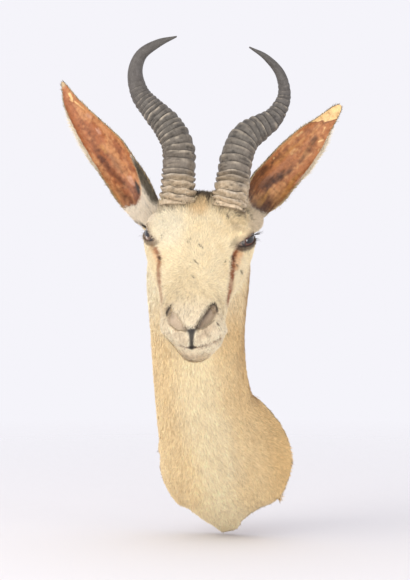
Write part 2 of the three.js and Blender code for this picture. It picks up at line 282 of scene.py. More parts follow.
def buildStudio():
    scene = bpy.context.scene
    scene.view_settings.view_transform = "Standard"
    scene.view_settings.look = "None"
    world = bpy.data.worlds.new("studio")
    scene.world = world
    world.use_nodes = True
    sky = world.node_tree.nodes["Background"]
    sky.inputs["Color"].default_value = (*tint(studio["backdrop"]), 1)
    sky.inputs["Strength"].default_value = studio["backdropStrength"]
    target = Vector((cadLow + cadHigh) / 2)
    for name in ("key", "fill", "sparkLeft", "sparkRight"):
        values = studio[name]
        lamp = bpy.data.lights.new(name, "AREA")
        lamp.shape = "DISK"
        lamp.size = values["size"]
        lamp.energy = values["power"]
        lamp.color = values["warmth"]
        rig = bpy.data.objects.new(name, lamp)
        rig.location = target + Vector(values["from"])
        rig.rotation_mode = "QUATERNION"
        rig.rotation_quaternion = (-Vector(values["from"])).to_track_quat("-Z", "Y")
        scene.collection.objects.link(rig)
    # the paper floor, faded out into the backdrop away from the object
    paper = Finish("paper")
    paper.fix("Base Color", (*tint(studio["floor"]), 1))
    paper.fix("Roughness", studio["floorRough"])
    clear = paper.node("BsdfTransparent")
    blend = paper.node("MixShader")
    ball = paper.node("TexGradient", gradient_type="SPHERICAL")
    paper.join(paper.spot((1 / studio["floorReach"],) * 3), ball.inputs["Vector"])
    fade = paper.ramp(ball.outputs["Fac"], [(0.0, 0.0), (studio["floorFade"], 1.0)])
    paper.join(fade, blend.inputs[0])
    paper.join(clear.outputs[0], blend.inputs[1])
    paper.join(paper.shader.outputs[0], blend.inputs[2])
    paper.join(blend.outputs[0], paper.tree.nodes["Material Output"].inputs["Surface"])
    turns = np.linspace(0, 2 * math.pi, studio["floorSides"], endpoint=False)
    reach = studio["floorReach"] * studio["floorRim"]
    rim = [(math.cos(t) * reach, math.sin(t) * reach, 0) for t in turns]
    mesh = bpy.data.meshes.new("floor")
    mesh.from_pydata(rim, [], [list(range(len(rim)))])
    mesh.materials.append(paper.made)
    floor = bpy.data.objects.new("floor", mesh)
    floor.location = (0, -studio["floorAhead"], cadLow.z - studio["floorGap"])
    scene.collection.objects.link(floor)


buildStudio()
print("camera and studio ready")


# the head's own frame: x to the animal's left, forward along the muzzle's heading, up

headFrame = {"place": (25.0, -164.0, 280.0), "turn": 19.0, "roll": 4.0, "slope": -41.0}


def headTurn():
    t = math.radians(headFrame["turn"])
    r = math.radians(headFrame["roll"])
    aboutUp = np.array([[math.cos(t), -math.sin(t), 0], [math.sin(t), math.cos(t), 0], [0, 0, 1]])
    aboutAhead = np.array([[math.cos(r), 0, math.sin(r)], [0, 1, 0], [-math.sin(r), 0, math.cos(r)]])
    return aboutUp @ aboutAhead


headMatrix = headTurn()
headPlace = np.array(headFrame["place"])
slopeSin = math.sin(math.radians(headFrame["slope"]))
slopeCos = math.cos(math.radians(headFrame["slope"]))


def toHead(points):  # to x, y and z of the head, where -y is forward
    return (points - headPlace) @ headMatrix


def fromHead(points):
    return points @ headMatrix.T + headPlace


def alongAbove(points):  # along the face's slope towards the nose, and above it
    local = toHead(points)
    forward = -local[:, 1]
    return forward * slopeCos + local[:, 2] * slopeSin, -forward * slopeSin + local[:, 2] * slopeCos


def strokeMask(pixels, line, widths, soft=0.8):  # 1 on a brush line given in photo pixels
    line = np.asarray(line, float)
    widths = np.broadcast_to(np.asarray(widths, float), len(line))
    best = np.full(len(pixels), 1e9)
    for a, b, wa, wb in zip(line[:-1], line[1:], widths[:-1], widths[1:]):
        run = b - a
        t = np.clip(((pixels - a) @ run) / (run @ run), 0, 1)
        away = np.linalg.norm(pixels - (a + t[:, None] * run), axis=1)
        best = np.minimum(best, away - (wa + (wb - wa) * t))
    return 1 - ease(best, -soft / 2, soft)


# eyes: glass caps behind almond lids

eye = {
    "radius": 16.5, "depth": 13.0, "place": (47.0, 46.0, -5.0),  # side, forward, up
    "gaze": {"left": (0.74, 0.64, 0.12), "right": (0.86, 0.48, 0.10)},
    "slitHalf": {"left": 14.0, "right": 13.0}, "slitHigh": {"left": 4.6, "right": 6.4}, "slitTilt": 24.0,
    "slitBack": {"left": -0.5, "right": 1.5}, "lidRadius": 18.2, "sunk": 13.2, "cover": 17.3,
    "bowEnd": 1.6, "unseen": 40.0,  # slit half lengths, and the mm given to places behind the eye
    "steps": 40, "around": 96, "pole": 0.02, "pupil": (7.6, 3.6), "iris": 11.5,
    "pupilTint": "#060405", "rimTint": "#160D09", "whiteTint": "#6E5A4C",
    # the right eye's paler iris stands partly for the hazy reflection on its glass: painted reflection
    "irisTint": {"left": "#5A3222", "right": "#7C6350"},
    "speckScale": 700.0, "rough": (0.10, 0.05), "shine": 0.5, "coat": 0.4, "coatRough": 0.03,
}


def eyeAxes(side):  # middle, rearward, upward and gaze, in the row frame
    sign = sides[side]
    x, forward, up = eye["place"]
    middle = fromHead(np.array([[sign * x, -forward, up]]))[0]
    across, forward, up = eye["gaze"][side]
    gaze = unit(np.array([sign * across, -forward, up]))
    across = unit(np.cross([0, 0, 1], gaze))
    rise = np.cross(gaze, across)
    return middle, headMatrix @ (across * sign), headMatrix @ rise, headMatrix @ gaze


# mm outside the almond slit, the arm from the eye's middle, and mm below the slit's line
def lidGap(points, side):
    middle, rear, rise, gaze = eyeAxes(side)
    arm = points - middle
    back = arm @ rear - eye["slitBack"][side]
    high = arm @ rise - math.tan(math.radians(eye["slitTilt"])) * back
    bow = eye["slitHigh"][side] * (1 - np.clip(np.abs(back) / eye["slitHalf"][side], 0, eye["bowEnd"]) ** 2)
    gap = np.abs(high) - bow
    return np.where(arm @ gaze > 0, gap, eye["unseen"]), arm, -high


# the haired skin of head and neck

skin = {
    "voxel": 1.9, "rounds": 34, "soften": 0.5, "hemRounds": 0.25,
    "browRounds": 60, "browRing": (17, 24, 34, 46),  # mm from an eye: begins, full, full, ends
    "hornPlug": {"at": (29.5, 18.0, 24.0), "radii": (23.0, 23.0, 23.0)},  # side, forward, up
    "earPlug": {"left": {"at": (54.0, -15.0, 19.5), "radii": (21.0, 15.5, 17.0)},
                "right": {"at": (49.0, -14.0, 6.0), "radii": (17.0, 16.0, 18.0)}},
    "hornRoot": (30.5, 17.0, 42.0),  # the middle of the scalp's ring about a horn
    "hemWave": 1.3, "hemLump": 9.0, "hemCrisp": (-24, -15), "hemRagged": (-24.0, -14),  # mm from the wall
    "detailRounds": 3, "detailSoften": 0.4, "detailNose": (140, -22), "detailEye": (30, 4), "detailStep": 6,
    "hairSink": 0.24, "noseFrom": (120, 145), "rimSwell": 1.3, "rimWide": 3.0, "rimSoft": (4.0, 2.4),
    "lidReach": 34.0, "lidNear": (2.0, 9.0), "lidSlope": 0.10, "lidEdge": 0.2, "lidTone": (0.8, 2.6),
    "strandScale": 900.0, "strandDeep": 0.0012, "poreScale": 620.0, "poreDeep": 0.0004,  # metres deep
    "hairyRough": 0.88, "bareRough": 0.42, "shine": 0.3,
}
hairLengths = {  # mm
    "neck": 5.6, "brisketMore": 1.2, "hemLess": 2.4, "face": 4.0, "crownMore": 4.4, "jawMore": 1.2,
}
coat = {
    "face": "#EFDFBB", "brow": "#E6D1A6", "muzzle": "#F3E6CB", "chin": "#F0DDBD", "cheek": "#F4E5C4",
    "throat": "#F8E6BF", "neck": "#F0D7A8", "flank": "#DDBC84", "jowl": "#F5E8CA", "nape": "#A97C48",
    # the greyish tan #B59C80 paints shade about the muzzle
    "napeDim": "#866038", "stripe": "#8B4211", "blush": "#D29256", "muzzleShade": "#B59C80", "speck": "#3C2E23",
    "lid": "#33271F", "lidSkin": "#8A7260", "underLid": {"left": 0.7, "right": 0.25},
    # the right nostril's dimmer lining and the darkest lining colour are painted shade; the darkest brown
    # paints shadow in the nostrils and the mouth
    "nose": "#2E2A28", "lining": "#C6B39C", "liningInShade": "#A38F79", "liningShade": "#463A31",
    "mouth": "#7E5A40", "openingShade": "#2A211C", "tuft": "#3A2C22", "hornSkin": "#8B7860", "stubble": "#8C7458",
    # hem: the cut edge's darker tone, partly painted shade
    # pale: the brow's painted highlight
    "hem": "#7C6242", "pale": "#F0E5CA", "warm": "#DCC092",
    # earRoot: a paler copy for the right ear and a darker one for the left, painted light and shade
    "earRoot": {"left": "#C3B29C", "right": "#E8DCCB"},
}
zones = {  # where a tone of the coat begins, is full, and how strong it is then
    "nape": (-0.55, 0.1, 1), "napeDim": (-0.3, 1.0, 0.6), "crown": (8, 56, 1), "crownTurn": (-0.15, 0.5, 1),
    "neck": (6, 34, 1), "flank": (84, 128, 0.8), "jowlEnd": (212, 262, 1), "brisket": (495, 525, 0.7),
    "jawEnd": (280, 352, 1), "brow": (-0.1, 0.8, 1), "browHighlightEnd": (8, 26, 1), "warmEnd": (5, 16, 1),
    "cheek": (0, 40, 1), "muzzle": (130, 165, 1), "chin": (140, 165, 1), "underChin": (6, 18, 0.8),
    "earSide": (48, 62, 1), "earHigh": (0, 16, 0.75), "lidSkinEnd": (2.0, 6.5, 1),
    "underLidEnd": (4.0, 7.0, 1), "underLid": (0.5, 2.5, 1), "lidEnd": (1.2, 3.0, 1),
    "hornSkinEnd": (22, 31, 1), "speck": (0.15, 0.4, 0.85), "stubble": (0.24, 0.6, 1),
    "stubbleFrom": (95, 150, 0.46), "hem": (-24, -13, 1), "hemShadeTurn": (0.1, 0.7, 1),
}
places = {  # photo pixels, and how far a line leans
    "browHighlight": (168, 226), "warmBrow": (199, 205), "throat": (196, 380),
    "throatLean": 0.19, "flankLean": 0.35,
}
marks = {  # photo pixels; each brush line has its own half widths
    "stripeLeft": ([(156.5, 248), (160.5, 257), (159.6, 277), (160.6, 290), (162, 299), (161.5, 313),
                    (160, 326)], [1.4, 1.9, 1.9, 1.9, 1.3, 0.5, 0.3]),
    "stripeRight": ([(235.5, 249), (232, 258), (231.2, 272), (229.8, 286), (227.4, 299), (226.8, 313),
                     (227.4, 324)], [1.5, 1.7, 1.9, 2.0, 1.5, 0.5, 0.3]),
    "blushLeft": ([(153, 246), (157, 252), (159, 262)], [2.0, 2.6, 1.6]),
    "blushRight": ([(240, 250), (237, 257), (235, 268)], [2.2, 3.0, 1.8]),
    "nostrilLeft": ([(169.8, 306.5), (169.9, 312), (173.0, 319.4), (178.2, 325.4), (184.6, 328.6)],
                    [1.0, 3.2, 4.7, 3.9, 1.0]),
    "nostrilRight": ([(213.8, 304.5), (213.0, 310.5), (207.8, 318.0), (201.8, 324.2), (197.4, 327.8)],
                     [1.8, 4.4, 4.8, 3.2, 1.0]),
    # deep lines: painted shadow in the nostrils' openings; dim lines: painted shade along their edges
    "deepLeft": ([(171.2, 305.0), (168.2, 308), (166.8, 312.5), (166.6, 316)], [0.9, 1.4, 1.1, 0.4]),
    "deepRight": ([(208.4, 307), (211.4, 304.2), (214.6, 303.2), (217, 306), (217.2, 311.5)],
                  [0.5, 1.2, 1.5, 1.4, 0.5]),
    "nostrilShadeRight": ([(210.0, 306.6), (205.8, 313), (201, 319.6), (197.2, 325.8)], [1.0, 1.9, 1.9, 1.0]),
    "nostrilShadeLeft": ([(170.4, 306.5), (169.6, 311), (171.5, 316.5)], [0.8, 1.8, 1.0]),
    "philtrum": ([(191.5, 330.5), (191.6, 333.5), (191.7, 340), (191.6, 347.5)], [3.8, 2.7, 2.0, 1.8]),
    "noseBar": ([(184.5, 327.4), (191.5, 331), (198.8, 325)], [0.7, 2.0, 0.7]),
    "mouth": ([(178, 345.2), (185.5, 347.2), (191.5, 347.7), (197, 347), (203.6, 345.5), (212, 343),
               (220.6, 338.6)], [0.2, 0.5, 0.8, 0.8, 0.7, 0.5, 0.3]),
    # painted shade over the brows and at the inner corners of the eyes
    "browShadeRight": ([(229, 222), (236, 228), (243, 231)], [1.2, 2.2, 1.2]),
    "cornerShadeRight": ([(230, 246), (234, 242), (238, 239)], [0.8, 1.8, 1.0]),
    "browShadeLeft": ([(152, 226), (150, 232), (151, 238)], [1.2, 1.8, 1.0]),
    "cornerShadeLeft": ([(150.5, 239), (152.5, 244), (154, 248)], [0.8, 1.4, 0.8]),
    # painted shade beside the mouth, below the right nostril and under the chin
    "muzzleShadeLeft": ([(176, 334), (182, 338.5), (187, 340)], [2.0, 3.0, 1.5]),
    "muzzleShadeRight": ([(200, 336), (206, 331), (213, 326)], [1.5, 3.2, 2.4]),
    "muzzleShadeChin": ([(183, 354), (191, 357.5), (200, 356)], [1.5, 3.0, 2.0]),
    # painted shadow in the middle of the mouth
    "openingShade": ([(187.4, 347.4), (191.5, 347.9), (195.3, 347.2)], [0.5, 1.1, 0.6]),
    "tuft": ([(199, 195), (205, 196), (208.5, 200)], [2.5, 3.5, 2.0]),
}
coatStrokes = (  # brush line, colour, strength and softness in the hair
    ("blushLeft", "blush", 0.45, 2.2), ("blushRight", "blush", 0.65, 2.2),
    ("stripeLeft", "stripe", 0.72, 1.3), ("stripeRight", "stripe", 0.95, 1.5),
    # painted shade by the mouth and under the chin
    ("muzzleShadeLeft", "muzzleShade", 0.35, 4.0), ("muzzleShadeRight", "muzzleShade", 0.5, 4.0),
    ("muzzleShadeChin", "muzzleShade", 0.2, 4.0), ("mouth", "mouth", 0.7, 1.2),
    ("nostrilLeft", "lining", 0.6, 5.0), ("nostrilRight", "liningInShade", 0.5, 4.0),
    ("nostrilShadeRight", "liningShade", 0.4, 4.0), ("noseBar", "nose", 0.4, 4.5),
    # painted shade about the brows and eye corners
    ("browShadeRight", "stubble", 0.4, 3.5), ("cornerShadeRight", "tuft", 0.45, 2.6),
    ("browShadeLeft", "stubble", 0.35, 3.5), ("cornerShadeLeft", "stubble", 0.45, 2.6),
)
bareStrokes = (  # the same, on the bare skin of the nose and mouth
    # the right nostril's lining is a shaded copy of the left's: painted shade
    ("nostrilLeft", "lining", 0.88, 3.2), ("nostrilRight", "liningInShade", 0.9, 3.0),
    ("nostrilShadeLeft", "liningShade", 0.5, 4.0), ("nostrilShadeRight", "liningShade", 0.8, 3.8),
    ("deepLeft", "openingShade", 0.9, 1.0), ("deepRight", "openingShade", 0.92, 1.2),
    ("mouth", "mouth", 0.75, 1.4), ("noseBar", "nose", 0.62, 3.6),
    ("philtrum", "nose", 0.95, 2.6), ("openingShade", "openingShade", 0.95, 1.0),
)
pressedLines = (  # brush line, mm pressed in and softness
    ("nostrilLeft", 3.8, 3.4), ("nostrilRight", 4.4, 3.4), ("deepLeft", 3.0, 1.4), ("deepRight", 3.0, 1.4),
    ("nostrilShadeRight", 1.2, 2.4), ("philtrum", 1.4, 1.8), ("mouth", 0.6, 2.0), ("openingShade", 1.2, 1.4),
)
bareLines = ("nostrilLeft", "nostrilRight", "philtrum", "noseBar", "openingShade")
outlines = {  # photo pixels
    "chinLeft": [(158.5, 320), (160.5, 331), (165.5, 339), (173.5, 347), (181, 356), (190, 363)],
    "chinRight": [(228.6, 320), (228, 330), (222, 345), (212, 355), (201, 362)],
    "chinDrop": 3.0, "chinDropFade": (338, 358), "chinRows": (318, 362, 2), "chinBand": 1.6,
    "chinFade": (318, 332), "chinMost": 12, "chinLeast": 4,
    "muzzle": (95, -55), "muzzleFade": (95, 125), "muzzleAbove": (-58, -50),  # mm along the face and above it
    "hemMiddle": (226, 455), "hemSteps": 144, "hemLimits": (0.86, 1.12), "hemBand": (0.45, 1.0),
    "hemFade": (-66, -24), "hemEnds": 0.1,  # mm from the wall; radians over which the outline's ends fade
    "hem": [(247, 388), (258, 398), (268, 408), (278, 421), (284.5, 432), (290, 447), (292.4, 462),
            (290, 475), (285.5, 485), (281, 495.5), (274, 502), (262, 507), (250, 513.5), (242.5, 520.5),
            (237, 530), (222, 532), (210, 522), (198, 513.5), (187, 507.5), (178, 504), (168, 490),
            (162, 475), (160, 464), (161.5, 449)],
    "tufts": [(181, 508), (280, 497.5)], "tuftReach": 3.5, "tuftMore": 1.5,
    "tuftFrom": -45,  # mm from the wall
}
specks = [  # photo pixels of each small dark mark's ends, and its half width
    (226, 215.5, 227.5, 219.5, 0.6), (234.5, 216, 239, 216.6, 0.5), (161, 235.5, 162.6, 239.5, 0.2),
    (190.6, 239.5, 188.6, 243.6, 0.4), (198.4, 245.8, 203, 249, 0.45), (195, 261.4, 199, 264.6, 0.3),
    (192, 275, 194, 277.4, 0.35), (160, 257, 161.4, 259.6, 1.0), (231.4, 256.6, 232.4, 260, 1.1),
    (240.4, 270.4, 241.8, 273.6, 0.7), (237.8, 281.6, 238.8, 284.6, 0.2), (217, 322.4, 218, 324.2, 0.7),
    (220.4, 328, 221.2, 328.6, 0.2), (202, 345, 203.2, 346.4, 0.7), (227, 332, 228, 333, 0.3),
    (146.4, 271, 147, 272.4, 0.4), (224, 261, 225, 263, 0.3), (164, 202, 166, 205, 0.9),
    (167, 206, 171, 206.6, 0.5), (181, 206, 184, 208.4, 0.4), (242, 209, 247, 212.4, 0.9),
    (236, 212, 240, 213.4, 0.6), (248, 213, 252, 219, 0.6), (206, 203, 209, 205, 0.5),
    (176, 203.4, 179, 204, 0.5), (229.4, 262, 230.6, 268, 0.4), (235.4, 264.6, 236.8, 266.6, 0.5),
    (152, 206, 154, 210, 0.6),
]


def ball(middle, radii, around=28, steps=15):  # a closed ellipsoid, as points and triangles
    tops = np.linspace(0, math.pi, steps + 1)[1:-1]
    turns = np.linspace(0, 2 * math.pi, around, endpoint=False)
    ring = np.stack([np.outer(np.sin(tops), np.cos(turns)), np.outer(np.sin(tops), np.sin(turns)),
                     np.outer(np.cos(tops), np.ones(around))], -1).reshape(-1, 3)
    points = np.concatenate([ring, [[0, 0, 1], [0, 0, -1]]]) * radii + middle
    quads = tubeLoops(steps - 1, around)
    first = np.arange(around)
    last = (steps - 2) * around + first
    caps = [np.stack([first, np.roll(first, -1), np.full(around, len(points) - 2)], 1),
            np.stack([last, np.roll(last, -1), np.full(around, len(points) - 1)], 1)]
    return points, np.concatenate([quads[:, [0, 1, 2]], quads[:, [0, 2, 3]], *caps])


def gatherForm():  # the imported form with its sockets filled
    clouds, corners, count = [], [], 0
    for name in ("head_and_neck", "left_eye", "right_eye"):
        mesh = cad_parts[name].data
        mesh.calc_loop_triangles()
        points = np.empty(len(mesh.vertices) * 3)
        mesh.vertices.foreach_get("co", points)
        triangles = np.empty(len(mesh.loop_triangles) * 3, np.int32)
        mesh.loop_triangles.foreach_get("vertices", triangles)
        clouds.append(points.reshape(-1, 3) / mm)
        corners.append(triangles.reshape(-1, 3) + count)
        count += len(clouds[-1])
    for side, sign in sides.items():
        for plug in (skin["hornPlug"], skin["earPlug"][side]):
            across, forward, up = plug["at"]
            points, triangles = ball(np.array([sign * across, -forward, up]), np.array(plug["radii"]))
            clouds.append(fromHead(points))
            corners.append(triangles + count)
            count += len(points)
    return np.concatenate(clouds), np.concatenate(corners)


def relax(points, edges, rounds, amount):
    joined = np.bincount(edges.ravel(), minlength=len(points))[:, None]
    for _ in range(rounds):
        pulled = np.stack([np.bincount(edges[:, 0], points[edges[:, 1], axis], len(points))
                           + np.bincount(edges[:, 1], points[edges[:, 0], axis], len(points))
                           for axis in range(3)], -1)
        points = points + amount * (pulled / joined - points)
    return points


def meshArrays(mesh):
    points = np.empty(len(mesh.vertices) * 3)
    mesh.vertices.foreach_get("co", points)
    edges = np.empty(len(mesh.edges) * 2, np.int32)
    mesh.edges.foreach_get("vertices", edges)
    return points.reshape(-1, 3) / mm, edges.reshape(-1, 2)


def setPoints(mesh, points):
    mesh.vertices.foreach_set("co", (points * mm).astype(np.float32).ravel())
    mesh.update()


def normalsOf(mesh):
    normals = np.empty(len(mesh.vertices) * 3, np.float32)
    mesh.vertices.foreach_get("normal", normals)
    return normals.reshape(-1, 3).astype(float)


def brushed(pixels, name, soft):  # 1 on a named brush line
    line, widths = marks[name]
    return strokeMask(pixels, line, widths, soft)


def zone(name, value):  # strength of a named zone of the coat
    low, high, strength = zones[name]
    return ease(value, low, high) * strength


def outside(name, value):  # 1 before a named zone, 0 past it
    return 1 - zone(name, value)


def hairLength(points):  # mm, by the place on the body
    along, above = alongAbove(points)
    onFace = faceShare(points)
    neck = hairLengths["neck"] + hairLengths["brisketMore"] * ease(-points[:, 2], -140, 0)
    neck = neck - hairLengths["hemLess"] * ease(points[:, 1], -34, -18)
    crown = ease(-along, -34, 10) * ease(above, 16, 40)
    face = hairLengths["face"] + hairLengths["crownMore"] * crown
    face = face + hairLengths["jawMore"] * ease(-above, 15, 45)
    return neck * (1 - onFace) + face * onFace


def faceShare(points):  # 1 on the face, 0 on the neck
    along, above = alongAbove(points)
    return ease(above + 0.12 * along, -46, -22) * ease(along, -52, -18)


def frontShare(normals):  # 1 where the surface looks at the viewer's side
    return ease(normals @ viewBack, -0.05, 0.2)


def noseShare(points, normals):  # 1 on the front of the nose
    return frontShare(normals) * ease(alongAbove(points)[0], 120, 140)


def fromHornRoot(points):  # mm from the nearer horn's ring of scalp
    local = toHead(points)
    side, forward, up = skin["hornRoot"]
    away = [np.linalg.norm(local - [sign * side, -forward, up], axis=1) for sign in sides.values()]
    return np.min(away, axis=0)


def coatTint(points, normals):  # base colour of the hair and skin at each point
    along, above = alongAbove(points)
    local = toHead(points)
    pixels = seenAt(points)
    u, v = pixels.T
    front = frontShare(normals)
    onFace = faceShare(points)
    broad = lumps(points, 42.0, 3)
    fine = lumps(points * [1, 1, 0.35], 7.0, 5)
    rearward = 0.25 * broad - normals[:, 1]
    napeTone = mix(tint(coat["nape"]), tint(coat["napeDim"]), zone("napeDim", broad + 0.8 * fine))
    # neck: pale middle, warmer flanks, cinnamon nape
    throatU, throatV = places["throat"]
    middle = np.abs(u - (throatU + places["throatLean"] * np.clip(v - throatV, 0, 200)))
    neck = mix(tint(coat["throat"]), tint(coat["neck"]), zone("neck", middle + 6 * broad))
    neck = mix(neck, tint(coat["flank"]), zone("flank", u - places["flankLean"] * v + 9 * broad))
    jowl = mix(tint(coat["jowl"]), tint(coat["neck"]), zone("jowlEnd", u + 6 * broad))
    # painted light: paler towards the bottom rows, where the neck turns down into shade
    neck = mix(neck, tint(coat["throat"]), zone("brisket", v))
    neck = mix(neck, jowl, outside("jawEnd", v + 10 * broad))  # pale where neck meets jaw
    neck = mix(neck, napeTone, outside("nape", rearward))
    # face: cream, warmer down the bridge, paler cheeks
    face = mix(tint(coat["face"]), tint(coat["brow"]), zone("brow", broad + 0.5 * fine))
    fromBrowHighlight = np.hypot(*((pixels - places["browHighlight"]) * [1, 0.8]).T)
    fromWarm = np.hypot(*(pixels - places["warmBrow"]).T)
    # painted highlight: paler on the brow towards the key light
    face = mix(face, tint(coat["pale"]), outside("browHighlightEnd", fromBrowHighlight) * front)
    face = mix(face, tint(coat["warm"]), outside("warmEnd", fromWarm) * front)
    face = mix(face, tint(coat["cheek"]), zone("cheek", -above))
    face = mix(face, tint(coat["muzzle"]), zone("muzzle", along))
    face = mix(face, tint(coat["chin"]), zone("chin", along) * zone("underChin", -above))
    face = mix(face, napeTone, zone("crown", 14 * broad + 6 * fine - along) * outside("crownTurn", rearward))
    made = mix(neck, face, onFace)
    # painted light and shade: the right ear's root is painted paler and the left's darker, as the key light
    # falls
    for side, sign in sides.items():
        atEar = zone("earSide", sign * local[:, 0]) * zone("earHigh", local[:, 2]) * front
        made = mix(made, tint(coat["earRoot"][side]), atEar)
    # markings and painted shade, drawn narrower where the face turns away
    rough = 0.6 + 0.4 * ease(lumps(points, 3.2, 8), -0.5, 0.3)
    onHead = front * ease(onFace, 0.6, 0.95) * ease(above, -44, -34)
    facing = ease(normals @ viewBack, 0.08, 0.34)
    for name, colour, strength, soft in coatStrokes:
        line, widths = marks[name]
        narrow = strokeMask(pixels, line, np.array(widths) * 0.35 - 0.2, soft * 0.4)
        full = strokeMask(pixels, line, widths, soft)
        made = mix(made, tint(coat[colour]), (narrow + (full - narrow) * facing) * strength * rough * onHead)
    for side in sides:
        gap, _, under = lidGap(points, side)
        made = mix(made, tint(coat["lidSkin"]), outside("lidSkinEnd", gap) * 0.75)
        below = outside("underLidEnd", gap) * zone("underLid", under)
        made = mix(made, tint(coat["lid"]), below * coat["underLid"][side])
        made = mix(made, tint(coat["lid"]), outside("lidEnd", gap))
    ragged = fromHornRoot(points) + 3.5 * lumps(points, 5.0, 11)
    made = mix(made, tint(coat["hornSkin"]), outside("hornSkinEnd", ragged) * 0.8)
    made = mix(made, tint(coat["tuft"]), brushed(pixels, "tuft", 2.5) * front * 0.85)
    for fromU, fromV, toU, toV, half in specks:
        spot = strokeMask(pixels, [(fromU, fromV), (toU, toV)], half, 0.6)
        made = mix(made, tint(coat["speck"]), spot * zone("speck", normals @ viewBack))
    stubble = zone("stubble", lumps(points, 1.7, 13)) * zone("stubbleFrom", along) * onFace
    made = mix(made, tint(coat["stubble"]), stubble)
    # the hem darkens near the wall where it turns away from the viewer: partly the cut skin's own edge,
    # partly painted shade
    hem = zone("hem", points[:, 1]) * outside("hemShadeTurn", normals @ viewBack)
    made = mix(made, tint(coat["hem"]), hem * 0.7)
    return made * (1 + 0.05 * fine + 0.05 * broad)[:, None]


def bareShare(points, normals):  # 1 where no hair grows
    pixels = seenAt(points)
    front = noseShare(points, normals)
    bare = np.zeros(len(points))
    for name in bareLines:
        bare = np.maximum(bare, brushed(pixels, name, 0.8) * front)
    for side in sides:
        gap, _, _ = lidGap(points, side)
        bare = np.maximum(bare, 1 - ease(gap, 1.0, 3.0))
    return bare


def skinFinish():
    finish = Finish("hide")
    colour = finish.layer("coat").outputs["Color"]
    bare = finish.layer("bare").outputs["Fac"]
    where = finish.spot((1, 1, 0.3))
    strands = finish.noise(where, skin["strandScale"], 6.0, 0.7)
    pores = finish.node("TexVoronoi", Scale=skin["poreScale"])
    finish.join(finish.spot((1, 1, 1)), pores.inputs["Vector"])
    shade = finish.ramp(strands, [(0.3, (0.80, 0.77, 0.72)), (0.7, (1.0, 1.0, 1.0))])
    finish.feed(finish.times(colour, shade), "Base Color")
    finish.feed(finish.ramp(bare, [(0.0, skin["hairyRough"]), (1.0, skin["bareRough"])]), "Roughness")
    hairy = finish.bump(strands, skin["strandDeep"], 0.5)
    finish.feed(finish.bump(pores.outputs["Distance"], skin["poreDeep"], 0.35, hairy), "Normal")
    finish.fix("Specular IOR Level", skin["shine"])
    return finish.made


def refine(mesh, wanted):  # finer faces where the features are small
    shape = bmesh.new()
    shape.from_mesh(mesh)
    for cuts in range(2):
        centres = np.array([f.calc_center_median() for f in shape.faces]) / mm
        chosen = wanted(centres, cuts)
        shape.faces.ensure_lookup_table()
        edges = {e for i in np.nonzero(chosen)[0] for e in shape.faces[i].edges}
        bmesh.ops.subdivide_edges(shape, edges=list(edges), cuts=1, use_grid_fill=True)
    bmesh.ops.triangulate(shape, faces=[f for f in shape.faces if len(f.verts) > 4])
    shape.to_mesh(mesh)
    shape.free()
    mesh.update()


def detailZone(points, finer):  # the nose and the eyes
    along, above = alongAbove(points)
    reach = skin["detailStep"] if finer else 0
    noseAlong, noseAbove = skin["detailNose"]
    eyeFar, eyeAhead = skin["detailEye"]
    chosen = (along > noseAlong + reach) & (above > noseAbove + reach)
    for side in sides:
        middle, _, _, gaze = eyeAxes(side)
        arm = points - middle
        chosen |= (np.linalg.norm(arm, axis=1) < eyeFar - reach) & (arm @ gaze > eyeAhead)
    return chosen


def pixelSize(points):  # mm a pixel spans at each point
    return -((points - eyePoint) @ viewBack) / focalPixels


def drawChin(points):  # narrows the lower muzzle to its outline
    along, above = alongAbove(points)
    pixels = seenAt(points)
    muzzleAlong, muzzleAbove = outlines["muzzle"]
    muzzle = (along > muzzleAlong) & (above > muzzleAbove)
    rows = np.arange(*outlines["chinRows"])
    lefts, rights = [], []
    for row in rows:
        near = pixels[muzzle & (np.abs(pixels[:, 1] - row) < outlines["chinBand"]), 0]
        lefts.append(near.min() if len(near) else lefts[-1])
        rights.append(near.max() if len(near) else rights[-1])
    u, v = pixels.T
    left, right = np.interp(v, rows, lefts), np.interp(v, rows, rights)
    wantLeft = np.interp(v, *np.array(outlines["chinLeft"]).T[::-1])
    wantRight = np.interp(v, *np.array(outlines["chinRight"]).T[::-1])
    moved = wantLeft + (u - left) / np.maximum(right - left, outlines["chinLeast"]) * (wantRight - wantLeft)
    weight = ease(v, *outlines["chinFade"]) * ease(along, *outlines["muzzleFade"])
    weight = weight * ease(above, *outlines["muzzleAbove"])
    most = outlines["chinMost"]
    across = (np.clip(moved - u, -most, most) * weight * pixelSize(points))[:, None] * viewRight
    drop = outlines["chinDrop"] * ease(v, *outlines["chinDropFade"]) * weight * pixelSize(points)
    return points + across - drop[:, None] * viewUp


def drawHem(points):  # brings the skin's cut edge to its outline
    middle = np.array(outlines["hemMiddle"])
    arm = seenAt(points) - middle
    angle = np.arctan2(arm[:, 1], arm[:, 0])
    far = np.hypot(*arm.T)
    weight = ease(points[:, 1], *outlines["hemFade"])
    count = outlines["hemSteps"]
    steps = np.linspace(-math.pi, math.pi, count + 1)
    slot = np.digitize(angle, steps) - 1
    reach = np.array([far[(slot == k) & (weight > 0.4)].max(initial=1) for k in range(count)])
    reach = (reach + np.roll(reach, 1) + np.roll(reach, -1)) / 3
    line = np.array(outlines["hem"]) - middle
    turns = np.unwrap(np.arctan2(line[:, 1], line[:, 0]))
    centres = (steps[:-1] + steps[1:]) / 2
    centres = np.where(centres < turns[0], centres + 2 * math.pi, centres)
    wanted = np.interp(centres, turns, np.hypot(*line.T))
    ends = outlines["hemEnds"]
    inside = ease(centres, turns[0], turns[0] + ends) * (1 - ease(centres, turns[-1] - ends, turns[-1]))
    share = np.clip(wanted / reach, *outlines["hemLimits"]) - 1
    slot = np.clip(slot, 0, count - 1)
    stretch = (share * inside)[slot] * weight * ease(far / reach[slot], *outlines["hemBand"])
    move = arm * stretch[:, None] * pixelSize(points)[:, None]
    sideways = move[:, :1] / viewRight[0] * [1.0, 0, 0]
    return points + sideways - move[:, 1:] * [0, 0, 1.0]


